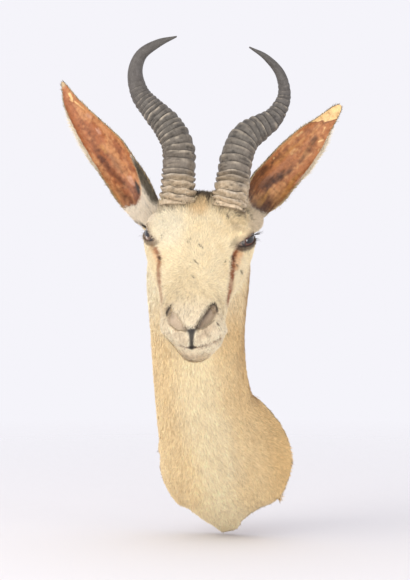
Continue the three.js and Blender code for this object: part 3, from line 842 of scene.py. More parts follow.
def buildSkin():
    cloud, triangles = gatherForm()
    rough = bpy.data.meshes.new("form")
    rough.from_pydata((cloud * mm).tolist(), [], triangles.tolist())
    form = bpy.data.objects.new("form", rough)
    bpy.context.scene.collection.objects.link(form)
    voxels = form.modifiers.new("voxels", "REMESH")
    voxels.mode = "VOXEL"
    voxels.voxel_size = skin["voxel"] * mm
    ready = form.evaluated_get(bpy.context.evaluated_depsgraph_get())
    mesh = bpy.data.meshes.new_from_object(ready)
    bpy.data.objects.remove(form)
    points, edges = meshArrays(mesh)
    # soft everywhere, crisp at the hem, softest about the brows
    amount = skin["soften"] * (1 - (1 - skin["hemRounds"]) * ease(points[:, 1], *skin["hemCrisp"]))[:, None]
    points = relax(points, edges, skin["rounds"], amount)
    brow = np.zeros(len(points))
    ringIn, ringFull, ringEnd, ringOut = skin["browRing"]
    for side in sides:
        away = np.linalg.norm(points - eyeAxes(side)[0], axis=1)
        brow = np.maximum(brow, ease(away, ringIn, ringFull) * (1 - ease(away, ringEnd, ringOut)))
    points = relax(points, edges, skin["browRounds"], skin["soften"] * brow[:, None])
    setPoints(mesh, points)
    refine(mesh, detailZone)
    points, edges = meshArrays(mesh)
    amount = skin["detailSoften"] * detailZone(points, False)[:, None]
    points = relax(points, edges, skin["detailRounds"], amount)
    setPoints(mesh, drawHem(drawChin(points)))
    points, _ = meshArrays(mesh)
    normals = normalsOf(mesh)
    # the hair's own depth comes off, so that its tips lie on the form
    sink = skin["hairSink"] * hairLength(points) * (1 - ease(normals[:, 1], 0.5, 0.8))
    points = points - normals * sink[:, None]
    # ragged hem
    hem = ease(points[:, 1], *skin["hemRagged"])
    ragged = skin["hemWave"] * hem * lumps(points, skin["hemLump"], 21)
    points[:, [0, 2]] += normals[:, [0, 2]] * ragged[:, None]
    # nose and mouth
    pixels = seenAt(points)
    front = frontShare(normals) * ease(alongAbove(points)[0], *skin["noseFrom"])
    press = np.zeros(len(points))
    for name, depth, soft in pressedLines:
        press += depth * brushed(pixels, name, soft) * front
    rimSoft, holeSoft = skin["rimSoft"]
    for name in ("nostrilLeft", "nostrilRight"):  # the swollen rim of each nostril
        line, widths = marks[name]
        rim = strokeMask(pixels, line, np.array(widths) + skin["rimWide"], rimSoft)
        press -= skin["rimSwell"] * (rim - strokeMask(pixels, line, widths, holeSoft)) * front
    points = points - normals * press[:, None]
    # eyelids: a crisp slit over each glass eye
    edge = skin["lidEdge"]
    for side in sides:
        gap, arm, _ = lidGap(points, side)
        away = np.linalg.norm(arm, axis=1)
        lid = np.maximum(away, eye["lidRadius"] - skin["lidSlope"] * np.clip(gap, 0, 12))
        wanted = np.where(gap < edge, np.minimum(away, eye["sunk"]), lid)
        near = np.where(gap < edge, 1.0, 1 - ease(gap, *skin["lidNear"]))
        reach = away < skin["lidReach"]
        points = np.where(reach[:, None], points + unit(arm) * ((wanted - away) * near)[:, None], points)
        gap, arm, _ = lidGap(points, side)
        short = np.clip(eye["cover"] - np.linalg.norm(arm, axis=1), 0, 8)
        short = short * (gap > edge) * (gap < eye["unseen"] - 1)
        points = points + unit(arm) * short[:, None]
    setPoints(mesh, points)
    normals = normalsOf(mesh)
    bare = bareShare(points, normals)
    tone = coatTint(points, normals)
    pixels = seenAt(points)
    front = noseShare(points, normals)
    for name, colour, strength, soft in bareStrokes:
        tone = mix(tone, tint(coat[colour]), brushed(pixels, name, soft) * front * strength)
    for side in sides:
        gap, _, _ = lidGap(points, side)
        tone = mix(tone, tint(coat["lid"]), 1 - ease(gap, *skin["lidTone"]))
    mesh.polygons.foreach_set("use_smooth", np.full(len(mesh.polygons), True))
    mesh.materials.clear()
    mesh.materials.append(skinFinish())
    mesh.name = "hide"
    paintPoints(mesh, "coat", tone)
    markPoints(mesh, "bare", bare)
    hide = bpy.data.objects.new("hide", mesh)
    bpy.context.scene.collection.objects.link(hide)
    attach(hide, "root")
    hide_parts("head_and_neck")
    print("hide:", len(mesh.polygons), "faces")
    return mesh


hideMesh = buildSkin()
hidePoints = meshArrays(hideMesh)[0]
hideNormals = normalsOf(hideMesh)


# hair: short flat blades lying along the coat

hair = {
    "faceCount": 92000, "neckCount": 165000, "perPiece": 62000,
    "faceWide": 0.42, "neckWide": 0.56, "rise": 24.0, "lie": 6.0,  # mm, degrees at the root and the tip
    "roll": 22.0, "stray": 13.0, "bury": 0.3, "taper": 0.8, "riseVary": 0.35,
    "longVary": (0.22, 0.45, 1.6), "wideVary": (0.25, 0.5, 1.7),  # spread, least and most
    "whorl": (2.0, 108.0), "spin": 1.2, "spinReach": 42.0,  # mm to the side and along the face, radians, mm
    "wallward": ([0, 60, 150, 300], [1.4, 0.75, 0.42, 0.35]),  # how the neck's hair leans, by height in mm
    "flare": 0.6, "flareFrom": (-70, -20), "wave": (14.0, 0.16), "curl": (3.4, 0.10, 0.45),  # mm, shares
    "rootTone": 0.92, "tipTone": 1.06, "streak": 0.12,
    "duskyFrom": (24, 40), "duskyOdds": 0.3, "dusky": 0.6,  # dark hairs about the horns
    "hornGap": (17, 20), "hornRound": (1, 0.85, 0.4),  # the bare ring about a horn, and its shape
    "fleckScale": 1400.0, "rough": 0.62, "shine": 0.28, "sheen": 0.06,
}


def hairFinish():
    finish = Finish("hair")
    colour = finish.layer("strand").outputs["Color"]
    flecks = finish.noise(finish.spot((1, 1, 0.4)), hair["fleckScale"], 3.0, 0.6)
    shade = finish.ramp(flecks, [(0.25, (0.88, 0.86, 0.83)), (0.75, (1.0, 1.0, 1.0))])
    finish.feed(finish.times(colour, shade), "Base Color")
    finish.fix("Roughness", hair["rough"])
    finish.fix("Specular IOR Level", hair["shine"])
    finish.fix("Sheen Weight", hair["sheen"])
    return finish.made


hairMaterial = hairFinish()


def varied(count, spread, least, most, chance=rng):  # factors about 1
    return (1 + spread * chance.normal(size=count)).clip(least, most)


def laidFlat(ways, normals):  # the part of each way that runs along the surface
    return unit(ways - normals * np.sum(ways * normals, axis=1, keepdims=True))


# each blade is a quad and a point, and bends from its rise at the root to its lie at the tip
def buildBlades(name, roots, normals, ways, lengths, widths, rootTints, tipTints,
                rise=hair["rise"], lie=hair["lie"]):
    count = len(roots)
    rise = np.radians(rise)
    lie = np.radians(lie)
    roll = np.radians(hair["roll"]) * rng.normal(size=count)[:, None]
    flat = unit(np.cross(ways, normals))
    across = flat * np.cos(roll) + normals * np.sin(roll)
    rises = (rise * (1 + hair["riseVary"] * rng.normal(size=count)))[:, None]
    half = lengths[:, None] / 2
    middles = roots + half * (ways * np.cos(rises) + normals * np.sin(rises))
    tips = middles + half * (ways * np.cos(lie) + normals * np.sin(lie))
    wide = across * (widths[:, None] / 2)
    slim = wide * hair["taper"]
    points = np.stack([roots - wide, roots + wide, middles + slim, middles - slim, tips], 1).reshape(-1, 3)
    points[:, 1] = np.minimum(points[:, 1], 0)  # no hair enters the wall
    base = np.arange(count)[:, None] * 5
    loops = (base + np.array([[0, 1, 2, 3, 3, 2, 4]])).ravel()
    starts = (np.arange(count)[:, None] * 7 + np.array([[0, 4]])).ravel()
    piece = newPiece(name, points, loops, starts, hairMaterial, "skin")
    middleTints = (rootTints + tipTints) / 2
    shades = np.stack([rootTints, rootTints, middleTints, middleTints, tipTints], 1)
    paintPoints(piece.data, "strand", shades.reshape(-1, 3))
    # each blade has its own small cell of the map
    cells = math.ceil(math.sqrt(count))
    corner = np.stack([np.arange(count) % cells, np.arange(count) // cells], -1)[:, None, :]
    shape = np.array([[.1, .1], [.9, .1], [.9, .5], [.1, .5], [.1, .5], [.9, .5], [.5, .9]])[None]
    layer = piece.data.uv_layers.new(name="OFBake")
    layer.data.foreach_set("uv", ((corner + shape) / cells).astype(np.float32).ravel())
    return piece


def trianglesOf(mesh):
    mesh.calc_loop_triangles()
    triangles = np.empty(len(mesh.loop_triangles) * 3, np.int32)
    mesh.loop_triangles.foreach_get("vertices", triangles)
    return triangles.reshape(-1, 3)


# evenly spread places, more where the weight is more: each one's triangle and its shares of the corners
def scatter(points, triangles, weights, count):
    a, b, c = (points[triangles[:, i]] for i in range(3))
    mass = np.linalg.norm(np.cross(b - a, c - a), axis=1) * weights
    edges = np.cumsum(mass)
    picks = (np.arange(count) + rng.random(count)) / count * edges[-1]
    chosen = np.minimum(np.searchsorted(edges, picks), len(triangles) - 1)
    r1 = np.sqrt(rng.random(count))
    r2 = rng.random(count)
    return triangles[chosen], np.stack([1 - r1, r1 * (1 - r2), r1 * r2], 1)


def blended(corners, shares, values):  # values between the corners of each place's triangle
    return np.einsum("ij,ijk->ik", shares, values[corners])


def flowWays(points, normals):  # the way the hair lies
    along, above = alongAbove(points)
    local = toHead(points)
    onFace = faceShare(points)[:, None]
    # down the neck and out over the hem
    ones = np.ones(len(points))
    down = np.stack([0.04 * ones, np.interp(points[:, 2], *hair["wallward"]), -ones], -1)
    outward = points * [1, 0, 1] - [0, 0, 20]
    flare = hair["flare"] * ease(points[:, 1], *hair["flareFrom"])[:, None]
    down = down * (1 - flare) + flare * unit(outward) * [1, 0, 1]
    # out from the whorl on the nose, and back along the cheeks
    whorlSide, whorlAlong = hair["whorl"]
    side = local[:, 0] - whorlSide
    run = along - whorlAlong
    spin = hair["spin"] * (1 - ease(np.hypot(side, run), 0, hair["spinReach"]))
    side, run = side * np.cos(spin) + run * np.sin(spin), run * np.cos(spin) - side * np.sin(spin)
    axisWay = headMatrix @ np.array([0, -slopeCos, slopeSin])
    sideWay = headMatrix @ np.array([1.0, 0, 0])
    fan = run[:, None] * axisWay + side[:, None] * sideWay
    cheek = ease(np.abs(local[:, 0]) + 0.6 * np.clip(-above, 0, 60), 26, 46)[:, None]
    fan = unit(fan) * (1 - cheek) + cheek * unit(-axisWay * 0.8 + np.array([0, 0, -0.6]))
    ways = unit(down) * (1 - onFace) + fan * onFace
    # waves, curls and strays
    waveSize, waveShare = hair["wave"]
    curlSize, curlShare, curlLoose = hair["curl"]
    wave = np.stack([lumps(points, waveSize, seed) for seed in (31, 32, 33)], -1)
    curl = np.stack([lumps(points, curlSize, seed) for seed in (34, 35, 36)], -1)
    loose = ease(-points[:, 2], -140, 20)[:, None]
    ways = ways + waveShare * wave + (curlShare + curlLoose * loose) * curl
    ways = ways + math.tan(math.radians(hair["stray"])) * rng.normal(size=points.shape)
    return laidFlat(ways, normals)


def buildCoat():
    triangles = trianglesOf(hideMesh)
    centres = hidePoints[triangles].mean(1)
    facing = unit(hideNormals[triangles].mean(1))
    free = 1 - bareShare(centres, facing)
    free *= 1 - ease(facing[:, 1], 0.75, 0.9) * ease(centres[:, 1], -20, -15)
    local = toHead(centres)
    rootSide, rootForward, rootUp = skin["hornRoot"]
    for sign in sides.values():
        away = np.linalg.norm((local - [sign * rootSide, -rootForward, rootUp]) * hair["hornRound"], axis=1)
        free *= ease(away, *hair["hornGap"])
    onFace = faceShare(centres)
    for label, weights, count, wide in (("Face", free * onFace, hair["faceCount"], hair["faceWide"]),
                                        ("Neck", free * (1 - onFace), hair["neckCount"], hair["neckWide"])):
        corners, shares = scatter(hidePoints, triangles, weights, count)
        roots = blended(corners, shares, hidePoints)
        upright = unit(blended(corners, shares, hideNormals))
        ways = flowWays(roots, upright)
        order = np.argsort(roots[:, 2])
        roots, upright, ways = roots[order], upright[order], ways[order]
        lengths = hairLength(roots) * varied(count, *hair["longVary"])
        pixels = seenAt(roots)
        for tuft in outlines["tufts"]:
            close = np.linalg.norm(pixels - tuft, axis=1) < outlines["tuftReach"]
            lengths *= 1 + outlines["tuftMore"] * close * (roots[:, 1] > outlines["tuftFrom"])
        widths = wide * varied(count, *hair["wideVary"])
        shade = coatTint(roots, upright)
        streak = 0.06 * lumps(roots * [1, 1, 0.3], 2.2, 41) + 0.10 * lumps(roots, 1.7, 42)
        streak = streak + hair["streak"] * rng.normal(size=count)
        dusky = (1 - ease(fromHornRoot(roots), *hair["duskyFrom"])) * (rng.random(count) < hair["duskyOdds"])
        shade = mix(shade, tint(coat["tuft"]), dusky * hair["dusky"])
        rootTints = shade * (hair["rootTone"] + streak)[:, None]
        tipTints = shade * (hair["tipTone"] + streak)[:, None]
        pieces = math.ceil(count / hair["perPiece"])
        for part, some in enumerate(np.array_split(np.arange(count), pieces)):
            buried = roots[some] - upright[some] * hair["bury"]
            buildBlades("hair%s%d" % (label, part + 1), buried, upright[some], ways[some], lengths[some],
                        widths[some], rootTints[some], tipTints[some])
        print("hair", label.lower(), count, "blades in", pieces, "pieces")


buildCoat()


# horns: ringed, with wavy bands that fade towards a smooth tip

horn = {
    # side, forward, up and half width, from the root to the tip
    "left": [(29.5, 18, 30, 21.5), (33, 14, 58, 19.8), (36.5, 5, 93, 18.9), (44, -2, 115, 18),
             (59, -9, 128.5, 15.6), (76, -15, 143, 12), (87, -19, 169, 8), (81, -15, 194, 5.9),
             (63, -7, 212, 3.8), (42, 3, 222, 0.9)],
    "right": [(28.5, 18, 30, 21.5), (30, 14, 60, 19.6), (33, 4, 99, 18.7), (47, -4, 123, 17.2),
              (66.5, -12, 142, 14.2), (83, -17, 160, 11.4), (91, -20, 186, 8.8), (85, -15, 206, 7),
              (66, -6, 220, 4.8), (44, 4, 228.5, 0.9)],
    "steps": 460, "around": 72, "finer": 60, "depth": 1.2, "seed": {"left": 60, "right": 80},
    "ringCount": 23, "ringFirst": 8.8, "ringLast": 6.0, "ringFrom": 4.0,  # mm
    "ringVary": (0.22, 0.6, 1.5), "ringLeast": 0.3, "ringMore": 0.85, "boldRings": 4, "bold": 1.1,
    "ridge": 3.6, "wave": 2.4, "scaly": 32.0, "fadeLong": 55.0,
    "slant": 2.4, "slantTurn": {"left": 0.4, "right": 2.4},  # mm, radians: the rings dip towards one side
    # noise of the surface: its pull around and along the horn, and its size
    "noise": {"wave": (11, 0.35, 7.0), "coarse": (14, 1, 4.2), "mottle": (16, 1, 9.0),
              "wrinkle": (7, 1, 1.9), "flake": (20, 1.3, 3.1), "grit": (22, 1.2, 1.4)},
    "base": "#D2BC9D", "low": "#877C6E", "middle": "#6E685F", "high": "#625D59", "tip": "#5F5C58",
    "tones": ((0, "base"), (0.07, "base"), (0.15, "low"), (0.36, "middle"), (0.70, "high"), (1, "tip")),
    # the darkest colour paints shade in grooves, creases and cracks; the crest colour paints highlights
    "grooveShade": "#1E1A17", "scale": "#E8D8BC", "crestHighlight": "#BDB09C",
    "scuffScale": 260.0, "scuffDeep": 0.0008, "fibreDeep": 0.0011, "rough": (0.62, 0.44), "shine": 0.4,
}


def hornLine(rows, count):  # points, half widths and run along the horn, evenly spaced
    rows = np.asarray(rows, float)
    ends = np.concatenate([[2 * rows[0] - rows[1]], rows, [2 * rows[-1] - rows[-2]]])
    gaps = np.maximum(np.linalg.norm(np.diff(ends[:, :3], axis=0), axis=1) ** 0.5, 1e-6)
    fine = []
    for k in range(len(rows) - 1):
        p0, p1, p2, p3 = ends[k:k + 4]
        d0, d1, d2 = gaps[k:k + 3]
        t1 = ((p1 - p0) / d0 - (p2 - p0) / (d0 + d1) + (p2 - p1) / d1) * d1
        t2 = ((p2 - p1) / d1 - (p3 - p1) / (d1 + d2) + (p3 - p2) / d2) * d1
        u = np.linspace(0, 1, horn["finer"], endpoint=k == len(rows) - 2)[:, None]
        fine.append(cubic(p1, p2, t1, t2, u))
    fine = np.concatenate(fine)
    run = np.concatenate([[0], np.cumsum(np.linalg.norm(np.diff(fine[:, :3], axis=0), axis=1))])
    even = np.linspace(0, run[-1], count)
    made = np.stack([np.interp(even, run, fine[:, i]) for i in range(4)], -1)
    return made[:, :3], np.maximum(made[:, 3], 0.7), even


def hornFinish():
    finish = Finish("hornSheath")
    colour = finish.layer("sheath").outputs["Color"]
    grain = finish.layer("grain").outputs["Vector"]
    fibre = finish.noise(grain, 1.0, 6.0, 0.62)
    shade = finish.ramp(fibre, [(0.28, (0.62, 0.60, 0.58)), (0.72, (1.0, 1.0, 1.0))])
    scuffs = finish.noise(finish.spot((1, 1, 1)), horn["scuffScale"], 5.0, 0.6)
    worn = finish.ramp(scuffs, [(0.35, (0.82, 0.81, 0.80)), (0.65, (1.0, 1.0, 1.0))])
    dull, smooth = horn["rough"]
    finish.feed(finish.times(finish.times(colour, shade, 0.8), worn), "Base Color")
    finish.feed(finish.ramp(scuffs, [(0.3, dull), (0.7, smooth)]), "Roughness")
    fibreBump = finish.bump(fibre, horn["fibreDeep"], 0.55)
    finish.feed(finish.bump(scuffs, horn["scuffDeep"], 0.3, fibreBump), "Normal")
    finish.fix("Specular IOR Level", horn["shine"])
    return finish.made


hornMaterial = hornFinish()


def buildHorn(side):
    line, halves, run = hornLine(horn[side], horn["steps"])
    line = line * [sides[side], -1, 1]
    tangents = unit(np.gradient(line, axis=0))
    across = unit(np.array([1.0, 0, 0]) - tangents * tangents[:, :1])
    behind = np.cross(tangents, across)
    turns = np.linspace(0, 2 * math.pi, horn["around"], endpoint=False)
    s, a = np.meshgrid(run, turns, indexing="ij")
    # rings of uneven breadth and strength
    seed = horn["seed"][side]
    chance = np.random.default_rng(seed)
    count = horn["ringCount"]
    bands = np.linspace(horn["ringFirst"], horn["ringLast"], count) * varied(count, *horn["ringVary"], chance)
    strength = horn["ringLeast"] + horn["ringMore"] * chance.random(count)
    strength[:horn["boldRings"]] = horn["bold"]
    bounds = np.concatenate([[0], np.cumsum(bands)]) + horn["ringFrom"]
    # noise of the surface
    shell = np.stack([np.cos(a), np.sin(a), np.zeros_like(a)], -1).reshape(-1, 3)
    upward = s.reshape(-1, 1) * [0, 0, 1]
    wave, coarse, mottle, wrinkle, flake, grit = (
        lumps(shell * girth + upward * along, size, seed + k).reshape(s.shape)
        for k, (girth, along, size) in enumerate(horn["noise"].values()))
    # where each point lies in its ring
    scaly = 1 - ease(s + 6 * mottle, horn["scaly"] * 0.55, horn["scaly"])
    slant = horn["slant"] * np.sin(a + horn["slantTurn"][side])
    fade = 1 - ease(s, bounds[-1] - horn["fadeLong"], bounds[-1] + 2)
    at = s + horn["wave"] * (0.4 + 1.7 * (1 - ease(s, 12, 62))) * wave + slant * (1 - ease(s, 20, 120))
    index = np.clip(np.searchsorted(bounds, at, side="right") - 1, 0, count - 1)
    phase = np.clip((at - bounds[index]) / bands[index], 0, 1)
    ringed = (at > bounds[0]) & (at < bounds[-1])
    band = np.where(ringed, ease(phase, 0.0, 0.7) * (1 - ease(phase, 0.82, 1.0)) ** 0.7, 0.75)
    # shape
    around = 0.78 + 0.22 * np.cos(a - math.pi * 1.5)  # strongest in front
    size = horn["ridge"] * (0.35 + 0.65 * fade) * around * strength[index]
    size = size * (0.6 + 0.4 * (1 - ease(s, 40, 150)))
    depth = 1 + (horn["depth"] - 1) * (1 - run / run[-1])
    thin = (halves / 20)[:, None]
    swell = size * (band - 0.72) * thin ** 0.5
    swell = swell + (0.35 + 0.5 * scaly) * coarse * thin * (0.25 + 0.75 * fade)
    swell = swell + 0.34 * wrinkle * fade * thin + scaly * (0.45 * flake + 0.35 * grit)
    radius = halves[:, None] + swell
    points = (line[:, None, :] + across[:, None, :] * (radius * np.cos(a))[..., None]
              + behind[:, None, :] * (radius * depth[:, None] * np.sin(a))[..., None]).reshape(-1, 3)
    placed = fromHead(points)
    piece = newPiece(side + "HornSheath", placed, *closedTube(horn["steps"], horn["around"]), hornMaterial,
                     "horn", (side + "_horn",))
    # colours: pale scaly foot, painted shade in the broken grooves, fine creases and cracks, painted
    # highlights on the crests
    stops = [stop for stop, _ in horn["tones"]]
    tones = np.array([tint(horn[name]) for _, name in horn["tones"]])
    place = np.clip(s / run[-1] + 0.05 * mottle, 0, 1)
    tone = np.stack([np.interp(place, stops, tones[:, i]) for i in range(3)], -1)
    # painted shade: dark in each ring's groove, in the fine creases between the rings and in the cracks of
    # the scaly foot
    grooveShade = ease(phase, 0.80, 0.92) * (1 - 0.5 * ease(phase, 0.97, 1.0)) + 0.5 * (1 - ease(phase, 0.0, 0.3))
    grooveShade = grooveShade * (0.15 + 0.85 * fade) * (0.4 + 0.6 * strength[index]) * ringed
    grooveShade = grooveShade * (0.45 + 0.55 * ease(mottle + 0.7 * coarse + 0.5 * wrinkle, -0.7, 0.4))
    lines = ease(-wrinkle, 0.25, 0.75) * fade * 0.45  # fine creases between the rings
    crackShade = (1 - ease(np.abs(flake), 0.02, 0.10)) * scaly * 0.3
    # painted highlight: pale along each ring's crest
    crestHighlight = ease(phase, 0.4, 0.7) * (1 - ease(phase, 0.78, 0.88)) * fade * ringed
    crestHighlight = crestHighlight * (0.15 + 0.6 * ease(coarse + mottle, -0.4, 0.7)) * strength[index]
    tone = mix(tone, tint(horn["scale"]), ease(grit + 0.4 * flake, 0.1, 0.8) * scaly * 0.7)
    tone = mix(tone, tint(horn["crestHighlight"]), crestHighlight)
    tone = mix(tone, tint(horn["grooveShade"]), np.clip(0.9 * grooveShade + lines + crackShade, 0, 0.93))
    tone = tone * (1 + 0.16 * mottle + 0.16 * coarse + 0.16 * wrinkle * fade)[..., None]
    paintPoints(piece.data, "sheath", tone.reshape(-1, 3))
    grain = piece.data.attributes.new("grain", "FLOAT_VECTOR", "POINT")
    field = np.stack([np.cos(a) * 9, np.sin(a) * 9, s * 0.11], -1).reshape(-1, 3)
    grain.data.foreach_set("vector", field.astype(np.float32).ravel())
    return placed, np.repeat(tangents @ headMatrix.T, horn["around"], 0)


collar = {
    "count": 2200, "high": 6.0, "long": 4.4, "wide": 0.45, "rows": 150,  # mm, rings of the horn's foot
    "rise": 12.0, "lie": 4.0, "stray": 0.3, "shift": 0.7,
    "tints": ("#E3D2AE", "#B9A686", "#6E5F4C", "#3B3026"), "odds": (0.4, 0.28, 0.2, 0.12),
}
hideTree = kdtree.KDTree(len(hidePoints))
for i, spot in enumerate(hidePoints):
    hideTree.insert(spot, i)
hideTree.balance()


def buildCollar(side, points, ways):  # hair of the scalp that climbs the horn's foot
    count = collar["count"]
    low = np.arange(horn["around"] * collar["rows"])
    found = [hideTree.find(spot) for spot in points[low]]
    nearest = np.array([index for _, index, _ in found])
    away = np.array([gap for _, _, gap in found])
    above = np.sum((points[low] - hidePoints[nearest]) * hideNormals[nearest], axis=1)
    chance = np.clip(1 - away / collar["high"], 0, 1) * (above > -1.0)
    picks = rng.choice(low, count, p=chance / chance.sum())
    axis = points.reshape(-1, horn["around"], 3).mean(1)[picks // horn["around"]]
    upright = unit(points[picks] - axis)
    lean = laidFlat(ways[picks] + collar["stray"] * rng.normal(size=(count, 3)), upright)
    roots = points[picks] + collar["shift"] * rng.normal(size=(count, 3)) * (1 - np.abs(upright))
    kinds = rng.choice(len(collar["tints"]), count, p=collar["odds"])
    shade = np.array([tint(code) for code in collar["tints"]])[kinds]
    shade = shade * (1 + 0.1 * rng.normal(size=(count, 1)))
    lengths = collar["long"] * (0.5 + rng.random(count)) * (1.1 - 0.5 * away[picks] / collar["high"])
    buildBlades(side + "Collar", roots, upright, lean, lengths, np.full(count, collar["wide"]),
                shade * 0.9, shade * 1.05, collar["rise"], collar["lie"])


for side in sides:
    buildCollar(side, *buildHorn(side))
print("horns built")


# ears: stiff lined shells, open in front

ear = {
    "root": {"left": (48, -14, 22.5), "right": (53, -14, 5)},  # side, forward, up
    "lean": {"left": 37, "right": 37.5}, "back": 10, "open": 12, "halfAngle": 68,  # degrees
    "length": {"left": 182, "right": 213}, "breadth": {"left": 0.95, "right": 0.93},
    "bend": {"left": 0.0, "right": 4.5},  # mm the ear bows away from the head
    "rootDraw": {"left": 1.0, "right": 0.45}, "rootEnd": 0.08,  # how far the root draws in under the scalp
    "tip": {"left": (11, 1.5, 0.5, 2), "right": (4, 1.5, 0.5, 2)},
    "blunt": {"left": 0.07, "right": 0.03},  # share of the length over which the tip rounds off
    "rows": [(30, 14, 0, 6), (41, 18, 0.1, 6), (49.5, 19, 0.75, 5), (50.5, 17, 1, 4.5), (49.5, 13, 1, 4),
             (43, 10, 1, 4), (32.5, 7, 1, 3.6), (19.5, 4, 0.9, 3)],  # width, cup, hollow, wall from the root
    "wallShare": 0.72, "rimThin": 7, "steps": 150, "across": 64, "seed": {"left": 90, "right": 110},
    # where the bare lining ends on the side of the head: mm up the ear, mm towards the head
    "liningEdge": {"left": ([0, 16, 24, 40], [-10, 6, 30, 60]),
                   "right": ([35, 43, 60, 84, 100], [-3, 4.5, 11, 18.6, 32])},
    "liningFoot": {"left": (13.0, 0.0, 0.4), "right": (34.0, -6.0, 0.34)},  # lowest, where, and rise outwards
    "darkFoot": {"left": 58.0, "right": 34.0},  # mm the lining stays dark above its foot
    "footDeep": {"left": 0.9, "right": 0.62},
    "tornAt": 0.857, "tornSlant": 0.006, "paleTip": (0.955, 0.98),  # shares of the length
    "lining": {"left": "#AD6F42", "right": "#A4643C"}, "deep": {"left": "#2E190B", "right": "#4C2614"},
    "light": {"left": "#D39C66", "right": "#C48B5C"}, "bare": "#F2CB8E", "edge": "#C9B08A", "rear": "#8C7859",
    # foot: the right ear's paler copy and the left's darker one are painted light and shade
    "foot": {"left": "#CFC0A9", "right": "#ECE0CC"}, "shade": "#4E4737", "fold": "#DDB88C",
    # the slit colour paints shadow in a fold; the last two colours paint highlights
    "slit": "#170C07", "glintHighlight": "#E2B7A0", "highlightGold": "#C08E4C",
    "veinScale": 190.0, "veinDeep": 0.0016, "rough": (0.52, 0.30), "shine": 0.42,
    # brush lines in photo pixels, with half widths
    "slitShadows": [([(135.6, 182), (138.2, 187.5), (138.8, 193)], [0.5, 1.6, 0.7])],
    # painted shade along the creases of the lining
    "creaseShadows": [([(106, 153), (114, 160), (119, 168), (123, 172)], [0.8, 1.6, 2.0, 0.6]),
                ([(100, 158), (108, 168), (117, 177), (127, 187)], [0.5, 1.4, 1.8, 1.2]),
                ([(117, 190), (124, 197), (131, 200)], [0.8, 1.6, 0.6]),
                ([(262, 187), (271, 180), (281, 177), (292, 169)], [0.8, 2.6, 2.4, 0.8]),
                ([(256, 206), (262, 200), (268, 196)], [1.0, 2.0, 0.8]),
                ([(300, 163), (308, 150), (316, 138)], [0.4, 1.2, 0.5])],
    # scratches, and painted glints along the left ear's outer rim
    "scrapesAndGlints": [([(292, 154.4), (298.6, 147.8)], [0.5, 0.7]), ([(290, 152.6), (294.6, 148.6)], [0.3, 0.4]),
                ([(302, 131.5), (297, 136)], [0.3, 0.6]), ([(324.8, 127.6), (323.4, 133)], [0.7, 0.4]),
                ([(322.6, 140.2), (319.2, 142.2)], [0.8, 0.6]), ([(319, 148.6), (318.2, 150)], [0.7, 0.6]),
                ([(273.6, 157.6), (274.2, 158.6)], [0.6, 0.5]),
                ([(70.4, 95), (71.6, 99.4)], [1.4, 1.7]), ([(75, 102), (84, 109)], [0.3, 0.5])],
    # painted highlights: golden streaks on the lining
    "highlightGolds": [([(258.5, 206), (264, 198), (270, 190.5)], [0.5, 1.5, 0.8]),
              ([(283, 196), (291, 184), (300, 172)], [0.4, 1.1, 0.5]),
              ([(275, 165), (290, 150), (304, 138)], [0.3, 1.0, 0.4]),
              ([(112, 192), (118, 197)], [0.6, 0.6]), ([(101, 146), (106, 152)], [1.2, 1.0])],
    # painted highlights
    "glints": [([(87, 114.6), (90, 117)], [1.0, 1.2]), ([(98, 130), (100, 133)], [1.2, 1.0]),
               ([(130, 178), (133, 184)], [1.6, 1.2]), ([(303, 176), (297, 184)], [0.5, 0.4])],
}


def earMatrix(side):  # columns: across the cup, rearward, towards the tip
    sign = sides[side]
    lean, back, turn = (math.radians(v) for v in (ear["lean"][side], ear["back"], ear["open"]))
    aboutY = Matrix.Rotation(sign * lean, 3, "Y")
    aboutX = Matrix.Rotation(-back, 3, "X")
    aboutZ = Matrix.Rotation(sign * turn, 3, "Z")
    return np.array(aboutY @ aboutX @ aboutZ)


def toEar(points, side):
    x, forward, up = ear["root"][side]
    return points @ earMatrix(side).T + [sides[side] * x, -forward, up]


def earFinish():
    finish = Finish("earLining")
    colour = finish.layer("lining").outputs["Color"]
    veins = finish.noise(finish.spot((1, 1, 1)), ear["veinScale"], 7.0, 0.68)
    shade = finish.ramp(veins, [(0.32, (0.56, 0.50, 0.46)), (0.5, (0.92, 0.90, 0.88)),
                                (0.72, (1.16, 1.13, 1.08))])
    dull, smooth = ear["rough"]
    finish.feed(finish.times(colour, shade), "Base Color")
    finish.feed(finish.ramp(veins, [(0.3, dull), (0.7, smooth)]), "Roughness")
    finish.feed(finish.bump(veins, ear["veinDeep"], 0.6), "Normal")
    finish.fix("Specular IOR Level", ear["shine"])
    return finish.made


earMaterial = earFinish()


def gridLumps(across, up, size, seed):  # noise over the ear laid flat
    return lumps(np.stack([across, np.zeros_like(up), up], -1).reshape(-1, 3), size, seed).reshape(up.shape)


